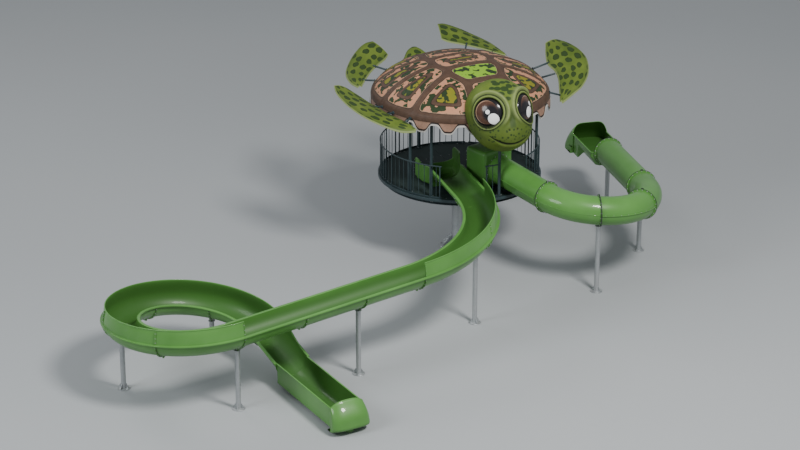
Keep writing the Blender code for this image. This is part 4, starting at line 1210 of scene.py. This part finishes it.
def shell():
    """The domed shell with raised bands between its scutes, a rolled eave and a smooth inside."""
    sectors, rows, relief, groove = 320, 120, 0.020, 0.012
    body = math.radians(BODY_AZ)
    border, kind, rings = [], [], []
    for i in range(rows + 1):
        share = 0.004 + (1 - 0.004) * (i / rows) ** 0.85
        radius, height = dome_point(share)
        r2, z2 = dome_point(min(share + 0.01, 1.0))
        r1, z1 = dome_point(max(share - 0.01, 0.0))
        tangent = Vector((r2 - r1, z2 - z1)).normalized()
        normal = Vector((-tangent.y, tangent.x))
        run = math.hypot(radius, height - EAVE_Z - SHELL_H - SHELL_BAND) * 0.97
        fall = 1.0 - smooth(0.985, 1.0, share)
        ring = []
        for k in range(sectors):
            a = 2 * math.pi * k / sectors
            edge, lime = scute_field(run * math.cos(a), run * math.sin(a))
            high = relief * smooth(0.088, 0.045, edge) * (1 - 0.6 * smooth(0.0, -0.05, edge))
            if radius > 2.4:
                seam = abs((math.degrees(a) / 15.0 + 0.5) % 1.0 - 0.5) * 15.0 * math.pi / 180 * radius
                high -= groove * smooth(0.03, 0.0, seam) * smooth(2.4, 2.5, radius)
            high -= relief
            r, z = radius + normal.x * high * fall, height + normal.y * high * fall
            ring.append((r * math.cos(a + body), r * math.sin(a + body), z))
            border.append(edge)
            kind.append(lime)
        rings.append(ring)
    eave, edge_r = EAVE_Z - RIM_DROP, EAVE_R - 0.040
    tail = [(EAVE_R, eave + 0.045), (EAVE_R, eave + 0.012), (EAVE_R - 0.012, eave), (EAVE_R - 0.036, eave),
            (edge_r, eave + 0.006), (edge_r, EAVE_Z), (2.2, EAVE_Z), (2.2, EAVE_Z + 0.05),
            (2.40, EAVE_Z + 0.05)]
    tail += [dome_point(s, -SHELL_T - 0.02) for s in (0.88, 0.8, 0.65, 0.5, 0.3, 0.1)]
    for r, z in tail:
        angles = [2 * math.pi * k / sectors + body for k in range(sectors)]
        rings.append([(r * math.cos(a), r * math.sin(a), z) for a in angles])
    border += [-0.1] * (sectors * len(tail))
    shape = Shape()
    shape.loft(rings)
    piece("shell_surface", shape, (SHELL,), "shell_brown",
          ("shell_petal_1", "shell_petal_2", "shell_petal_3"), border=border, kind=kind)


def skirt():
    """The scalloped skirt, a thin moulding with a rolled lower edge."""
    per, down = 20, 9
    top = EAVE_Z - RIM_DROP - GAP
    rings, edges = [], []
    for k in range(SCALLOPS * per + 1):
        a = math.radians(SKIRT_START + SCALLOP_PITCH * k / per)
        arch = smooth(0.04, 0.96, 0.5 - 0.5 * math.cos(2 * math.pi * k / per))
        low = top - 0.33 + 0.25 * arch
        outer, inner = [], []
        for t in (i / down for i in range(down + 1)):
            z = top + (low - top) * t
            outer.append((EAVE_R - 0.02 + 0.05 * t ** 1.3, z))
            edges.append(z - low)
        for t in (1 - i / down for i in range(down + 1)):
            inner.append((EAVE_R - 0.047 + 0.05 * t ** 1.3, top + (low - top) * t + 0.004 * t))
            edges.append(0.0)
        rings.append([(r * math.cos(a), r * math.sin(a), z) for r, z in outer + inner])
    shape = Shape()
    shape.loft(rings)
    piece("skirt_moulding", shape, (SKIRT,), "skirt_tan", ("shell_skirt",), edge=edges)


shell()
skirt()

HEAD_SPOT = polar(2.60, -4.3, 0.16)
HEAD_SCALE = 1.045
HEAD_SPIN = Matrix.Rotation(math.radians(FACE_AZ), 4, "Z")
EYE_SIDE, EYE_LIFT, EYE_R, EYE_BASE = 41.5, 16.0, 0.42, 0.755


def aim(azimuth, lift):
    """A unit direction in the head's own frame, where X is ahead and Y to the left."""
    a, b = math.radians(azimuth), math.radians(lift)
    return Vector((math.cos(b) * math.cos(a), math.cos(b) * math.sin(a), math.sin(b)))


EYES = []
for side in (1, -1):
    axis = aim(side * EYE_SIDE, EYE_LIFT)
    EYES.append((side, axis, (UP - axis * axis.z).normalized()))
# Dark spots on the forehead: direction, the level direction across it, and radius on the unit sphere
MARKS = []
for azimuth, lift, size in (
        (0, 62, 0.105), (-15, 51, 0.085), (13, 52, 0.09), (-27, 63, 0.085), (29, 66, 0.095), (-1, 41, 0.07),
        (-40, 76, 0.10), (20, 80, 0.085), (-48, 62, 0.07), (52, 60, 0.075), (62, 74, 0.08),
        (-80, 80, 0.085)):
    MARKS.append((aim(azimuth, lift), aim(azimuth + 90, 0), size))


def cranium(d):
    """Distance to the bare head in a direction: a skull and a muzzle blended smoothly."""
    skull = 1 / math.sqrt((d.x / 0.965) ** 2 + (d.y / 0.965) ** 2 + (d.z / 0.945) ** 2)
    cx, cz, rx, ry, rz = 0.36, -0.33, 0.825, 0.835, 0.695
    a = (d.x / rx) ** 2 + (d.y / ry) ** 2 + (d.z / rz) ** 2
    b = -2 * (d.x * cx / rx ** 2 + d.z * cz / rz ** 2)
    c = (cx / rx) ** 2 + (cz / rz) ** 2 - 1
    muzzle = (-b + math.sqrt(b * b - 4 * a * c)) / (2 * a)
    k = 14.0
    return HEAD_SCALE * (math.log(math.exp(k * skull) + math.exp(k * muzzle)) / k - 0.02)


def head_radius(d):
    """Distance from the cranium's centre to the skin in a direction, with its paint fields."""
    r = cranium(d)
    shade = dusk = rim = 0.0
    for side, axis, up in EYES:
        along = r * d.dot(axis)
        if along < 0:
            continue
        off = d * r - axis * along
        across_eye = off.length
        out = across_eye - EYE_R
        if across_eye < EYE_R + 0.004:
            r = min(r, (EYE_BASE + 0.015) / max(d.dot(axis), 0.2))
            shade = 1.0
            continue
        rise = off.dot(up) / max(across_eye, 1e-4)
        inward = -side * off.dot(up.cross(axis)) / max(across_eye, 1e-4)
        over = max(smooth(0.05, 0.75, rise), smooth(0.35, 0.9, inward) * smooth(-0.75, 0.0, rise))
        brow = hump(out, 0.150, 0.062) * over
        r += 0.040 * hump(out, 0.045, 0.030) + 0.120 * brow
        shade = max(shade, smooth(0.030, 0.018, out), hump(out, 0.083, 0.012, 4))
        # The pale ring at the lid is paint; the pale band on the brow ridge is a painted highlight.
        rim = max(rim, 0.45 * hump(out, 0.048, 0.016, 4), 0.62 * brow ** 1.3)
        # Painted shade in the gap between the lid and the brow.
        gap = smooth(0.066, 0.08, out) * smooth(0.19, 0.09, out)
        dusk = max(dusk, gap * (1 - brow) * (0.9 + 0.4 * over))
    p = d * r
    if p.x > 0.2:
        smile = -0.62 + 0.58 * p.y ** 2
        groove = hump(p.z, smile, 0.014 + 0.022 * smooth(0.66, 0.35, abs(p.y)), 4)
        groove *= smooth(0.68, 0.60, abs(p.y))
        chin = hump(p.z, smile - 0.10, 0.07) * smooth(0.6, 0.3, abs(p.y))
        r += 0.018 * chin - 0.035 * groove
        shade = max(shade, groove)
        for side in (1, -1):
            dent = hump(math.hypot(p.y - side * 0.13, p.z + 0.16), 0, 0.028)
            r -= 0.03 * dent
            shade = max(shade, dent)
    mark = 0.0
    for centre, level, size in MARKS:
        apart = d - centre
        lean = apart.dot(level)
        far = math.sqrt(max(apart.length_squared - 0.35 * lean * lean, 0.0))
        mark = max(mark, min(max(0.5 + (size - far) / 0.08, 0.0), 1.0))
    # Painted shade on the nose bridge between the eyes and on the lower cheeks.
    bridge = smooth(0.16, 0.05, abs(p.y)) * smooth(-0.22, -0.05, p.z) * smooth(0.55, 0.30, p.z)
    cheek = 0.38 * smooth(-0.60, -0.45, p.z) * smooth(0.25, 0.0, p.z)
    # The head is lighter towards its top, which is painted light.
    return r, {
        "shade": shade, "mark": mark, "rim": rim, "dusk": max(bridge, dusk, cheek),
        "freckles": smooth(-0.06, -0.16, p.z) * smooth(-0.62, -0.52, p.z) * smooth(0.0, 0.25, p.x),
        "painted_light": 0.22 * smooth(0.1, 0.5, p.z) * (1 - 0.5 * smooth(0.75, 0.95, p.z)) * (1 - shade)}


def head():
    """The head's skin, cut back to where it meets the shell and the skirt."""
    work = bmesh.new()
    bmesh.ops.create_icosphere(work, subdivisions=7, radius=1.0)
    for vert in work.verts:
        d = vert.co.normalized()
        vert.co = HEAD_SPOT + HEAD_SPIN @ (d * head_radius(d)[0])
    skin = temporary("head_skin", work)
    side = EAVE_R + 0.034
    outline = [(0.0005, 4.0), (side, 4.0), (side, EAVE_Z - RIM_DROP + GAP)]
    outline += [dome_point(s, 0.001) for s in (
        1.0, 0.985, 0.97, 0.94, 0.91, 0.86, 0.82, 0.76, 0.7, 0.62, 0.55, 0.4, 0.2, 0.05)]
    roof = Shape()
    roof.turned(outline + [(0.0005, EAVE_Z + SHELL_BAND + SHELL_H)], sides=160)
    mesh = bpy.data.meshes.new("roof_solid")
    mesh.from_pydata(roof.verts, [], roof.faces)
    cutter = bmesh.new()
    cutter.from_mesh(mesh)
    bmesh.ops.recalc_face_normals(cutter, faces=cutter.faces)
    left = carved(skin, temporary("roof_cutter", cutter))
    back = HEAD_SPIN.inverted()
    looks = [head_radius((back @ (vert.co - HEAD_SPOT)).normalized())[1] for vert in left.vertices]
    shape = Shape()
    shape.take(left)
    piece("turtle_head_skin", shape, (SKIN,), "skin_green", ("turtle_head",), 60,
          **{key: [look[key] for look in looks] for key in looks[0]})


# Painted discs of each eye: right, up and radius in metres from the eye's axis
# The tan arc that the first disc leaves beside the iris is painted rim light.
DISCS = {
    1: {"rim_light": ((0.055, 0.012, 0.345),), "iris": ((0.030, 0.006, 0.345),),
        "pupil": ((-0.095, 0.0, 0.30),), "glint": ((0.03, -0.13, 0.165), (0.19, 0.08, 0.075))},
    -1: {"rim_light": ((-0.055, 0.012, 0.345),), "iris": ((-0.030, 0.006, 0.345),),
         "pupil": ((0.095, 0.0, 0.30),), "glint": ((0.19, -0.15, 0.165), (0.0, 0.03, 0.068))}}


def eye(name, side, node):
    """A domed, painted eye in its seat."""
    axis = HEAD_SPIN @ aim(side * EYE_SIDE, EYE_LIFT)
    up = (UP - axis * axis.z).normalized()
    right = up.cross(axis)
    profile = curve_through([(0.42, 0.76), (0.42, 0.845), (0.408, 0.880), (0.37, 0.915), (0.27, 0.965),
                             (0.14, 1.00), (0.012, 1.01)], 8)
    fields = {key: [] for key in DISCS[side]}
    rings = []
    for r, along in profile:
        ring = []
        for c, s in circle(120):
            ring.append(HEAD_SPOT + axis * along + right * (r * c) + up * (r * s))
            for key, discs in DISCS[side].items():
                fields[key].append(min(math.hypot(r * c - x, r * s - y) / size for x, y, size in discs))
        rings.append(ring)
    shape = Shape()
    shape.loft(rings)
    piece(name, shape, (EYE,), "eye_gloss", (node,), **fields)


head()
eye("painted_eye_left", 1, "left_eye")
eye("painted_eye_right", -1, "right_eye")

# Blades as rows of azimuth, inner radius and height, outer radius and height, from the head backwards
RAISED = (
    (56, 3.02, -0.26, 3.10, -0.30), (62, 3.00, -0.06, 3.42, -0.13), (67, 3.01, 0.06, 3.74, 0.03),
    (74, 3.05, 0.20, 4.03, 0.28), (81, 3.07, 0.29, 4.15, 0.56), (88, 3.00, 0.42, 4.13, 0.72),
    (95, 3.17, 0.62, 4.08, 0.78), (101, 3.44, 0.80, 3.96, 0.82),
)
TRAILING = (
    (54, 3.02, -0.26, 3.12, -0.31), (60, 2.98, -0.14, 3.38, -0.29), (67, 2.95, -0.08, 3.70, -0.10),
    (74, 2.95, -0.04, 3.95, 0.11), (81, 2.95, 0.00, 4.05, 0.27), (88, 3.00, 0.05, 4.05, 0.37),
    (96, 3.20, 0.19, 4.02, 0.46), (102, 3.52, 0.40, 3.95, 0.54),
)
REAR = (
    (123, 3.00, 0.12, 3.12, 0.09), (129, 2.97, 0.17, 3.42, 0.12), (136, 2.95, 0.25, 3.68, 0.24),
    (144, 2.95, 0.32, 3.80, 0.42), (152, 2.95, 0.40, 3.86, 0.63), (158, 2.97, 0.46, 3.86, 0.77),
    (162, 3.04, 0.54, 3.74, 0.83),
)
TAIL = (
    (170, 2.90, 0.10, 3.05, 0.17), (175, 2.88, 0.12, 3.44, 0.35), (180, 2.88, 0.14, 3.38, 0.30),
    (185, 2.88, 0.12, 3.14, 0.15), (189, 2.90, 0.10, 2.98, 0.09),
)
BLADE_T = 0.06
SPOT_PITCH = (2.7, 3.4)         # spots for each metre along a blade and across it


def paddle(name, node, rows, struts, side=1, lift=0.0):
    """A smooth blade with a rounded rim and a crowned back, on steel struts from the shell."""
    shape = Shape()
    fine = curve_through(rows, 12)
    cols, last = 40, len(fine) - 1
    spot_rows = round(SPOT_PITCH[1] * max(row[3] - row[1] for row in rows))
    rings = []
    rim, spots, dusk, along_field, across_field = [], [], [], [], []
    along, before = 0.0, None
    for i, (azimuth, r_in, z_in, r_out, z_out) in enumerate(fine):
        end = min(i, last - i) / last
        slim = min(1.0, 0.25 + math.sqrt(min(1.0, end * 9)) * 0.75)
        middle = polar((r_in + r_out) / 2, azimuth * side, (z_in + z_out) / 2)
        along += (middle - before).length if before else 0.0
        before = middle
        upper, lower = [], []
        for t in (c / cols for c in range(cols + 1)):
            crown = 1 - (2 * t - 1) ** 2
            r = r_in + (r_out - r_in) * t
            z = z_in + (z_out - z_in) * t + lift + 0.05 * crown - BLADE_T / 2
            edge = min(t, 1 - t) * max(r_out - r_in, 0.05)
            half = BLADE_T / 2 * slim * min(1.0, math.sqrt(max(edge, 0.0) / 0.045) * 0.85 + 0.15)
            upper.append((r, z + half, edge))
            lower.append((r, z - half, edge))
        ring = upper + lower[::-1]
        rings.append([polar(r, azimuth * side, z) for r, z, edge in ring])
        for j, (r, z, edge) in enumerate(ring):
            top, near = j <= cols, min(edge, end * 2.2)
            rim.append(0.8 * (1 - smooth(0.010, 0.040, near)))
            spots.append(smooth(0.035, 0.06, near) * top)
            # Painted shade: darker near the blade's edges on top, and all over its underside.
            dusk.append(0.55 * smooth(0.25, 0.0, edge / max(r_out - r_in, 0.1)) if top else 1.0)
            along_field.append(along * SPOT_PITCH[0])
            across_field.append((j if top else 2 * cols + 1 - j) / cols * spot_rows)
    shape.loft(rings)
    for start_az, start_z, end_az, end_r, end_z in struts:
        start = polar(dome_radius(start_z) - 0.01, side * start_az, start_z)
        end = polar(end_r, side * end_az, end_z + lift - BLADE_T / 2)
        shape.rod(start, end, 0.028, 16, 1)
        out = (end - start).normalized()
        washer = [(0.05, 0), (0.052, 0.003), (0.052, 0.010), (0.048, 0.013)]
        shape.turned(washer, start + out * 0.012, out, 20, 1)
    piece(name, shape, (SKIN, TEAL), "skin_green", (node,), 60, rim=rim, spots=spots, dusk=dusk,
          along=along_field, across=across_field)


# Struts as azimuth and height on the shell, then azimuth, radius and height on the blade
paddle("flipper_front_left", "front_flipper_left", RAISED, (
    (55, 0.04, 60, 3.03, -0.10), (80, 0.12, 78, 3.04, 0.27), (88, 0.30, 88, 3.05, 0.45)))
paddle("flipper_front_right", "front_flipper_right", TRAILING, (
    (62, -0.09, 62, 3.05, -0.13), (76, -0.08, 76, 3.04, -0.03), (88, -0.06, 88, 3.1, 0.05)), -1)
paddle("flipper_rear_left", "rear_flipper_left", REAR, (
    (132, 0.18, 131, 3.04, 0.21), (148, 0.28, 147, 3.04, 0.41)), 1, 0.12)
paddle("flipper_rear_right", "rear_flipper_right", REAR, (
    (132, 0.08, 131, 3.04, 0.21), (148, 0.2, 147, 3.04, 0.41)), -1, -0.10)
paddle("tail_blade", "tail", TAIL, ((180, 0.1, 180, 3.0, 0.17),))


# Floor, light and camera

def floor():
    """A plain pale floor, just under the ground's level."""
    size, cells, below = 260.0, 8, -0.002
    shape = Shape()
    shape.loft([[(-size + 2 * size * i / cells, -size + 2 * size * k / cells + 60, below)
                 for i in range(cells + 1)] for k in range(cells + 1)], round_ring=False, caps=False)
    mesh = bpy.data.meshes.new("studio_floor")
    mesh.from_pydata(shape.verts, [], shape.faces)
    paint = Paint("studio_grey")
    paint.colour(paint.ramp(paint.noise(0.03), (0.3, (0.33, 0.345, 0.355)), (0.7, (0.38, 0.395, 0.405))))
    paint.ranged("Roughness", paint.noise(0.4, 3.0), 0.55, 0.7)
    mesh.materials.append(paint.mat)
    placed("studio_floor", mesh)


def lamp(name, at, target, size, power, colour=(1, 1, 1)):
    """A round, soft lamp that points at a target."""
    light = bpy.data.lights.new(name, "AREA")
    light.shape = "DISK"
    light.size = size
    light.energy = power
    light.color = colour
    obj = placed(name, light)
    obj.location = at
    obj.rotation_euler = (Vector(target) - Vector(at)).to_track_quat("-Z", "Y").to_euler()


floor()
lamp("key", (14, -26, 34), (-1, -5, 1), 9.0, 17500, (1.0, 0.99, 0.97))
lamp("fill", (-30, -24, 22), (-2, -5, 1), 16.0, 6500, (0.95, 0.98, 1.0))
lamp("back", (-26, 18, 30), (0, 0, 3), 14.0, 2200)
world = bpy.data.worlds.new("studio")
bpy.context.scene.world = world
world.use_nodes = True
sky = world.node_tree.nodes["Background"].inputs
sky["Color"].default_value = (0.86, 0.91, 0.96, 1)
sky["Strength"].default_value = 0.40

lens = bpy.data.cameras.new("camera")
lens.sensor_width = 36.0
lens.lens = 108.0
lens.clip_start = 1.0
lens.clip_end = 900.0
camera = placed("camera", lens)
camera.location = (-1.826, -68.765, 29.047)
camera.rotation_euler = (math.radians(67.545), 0, 0)
bpy.context.scene.camera = camera
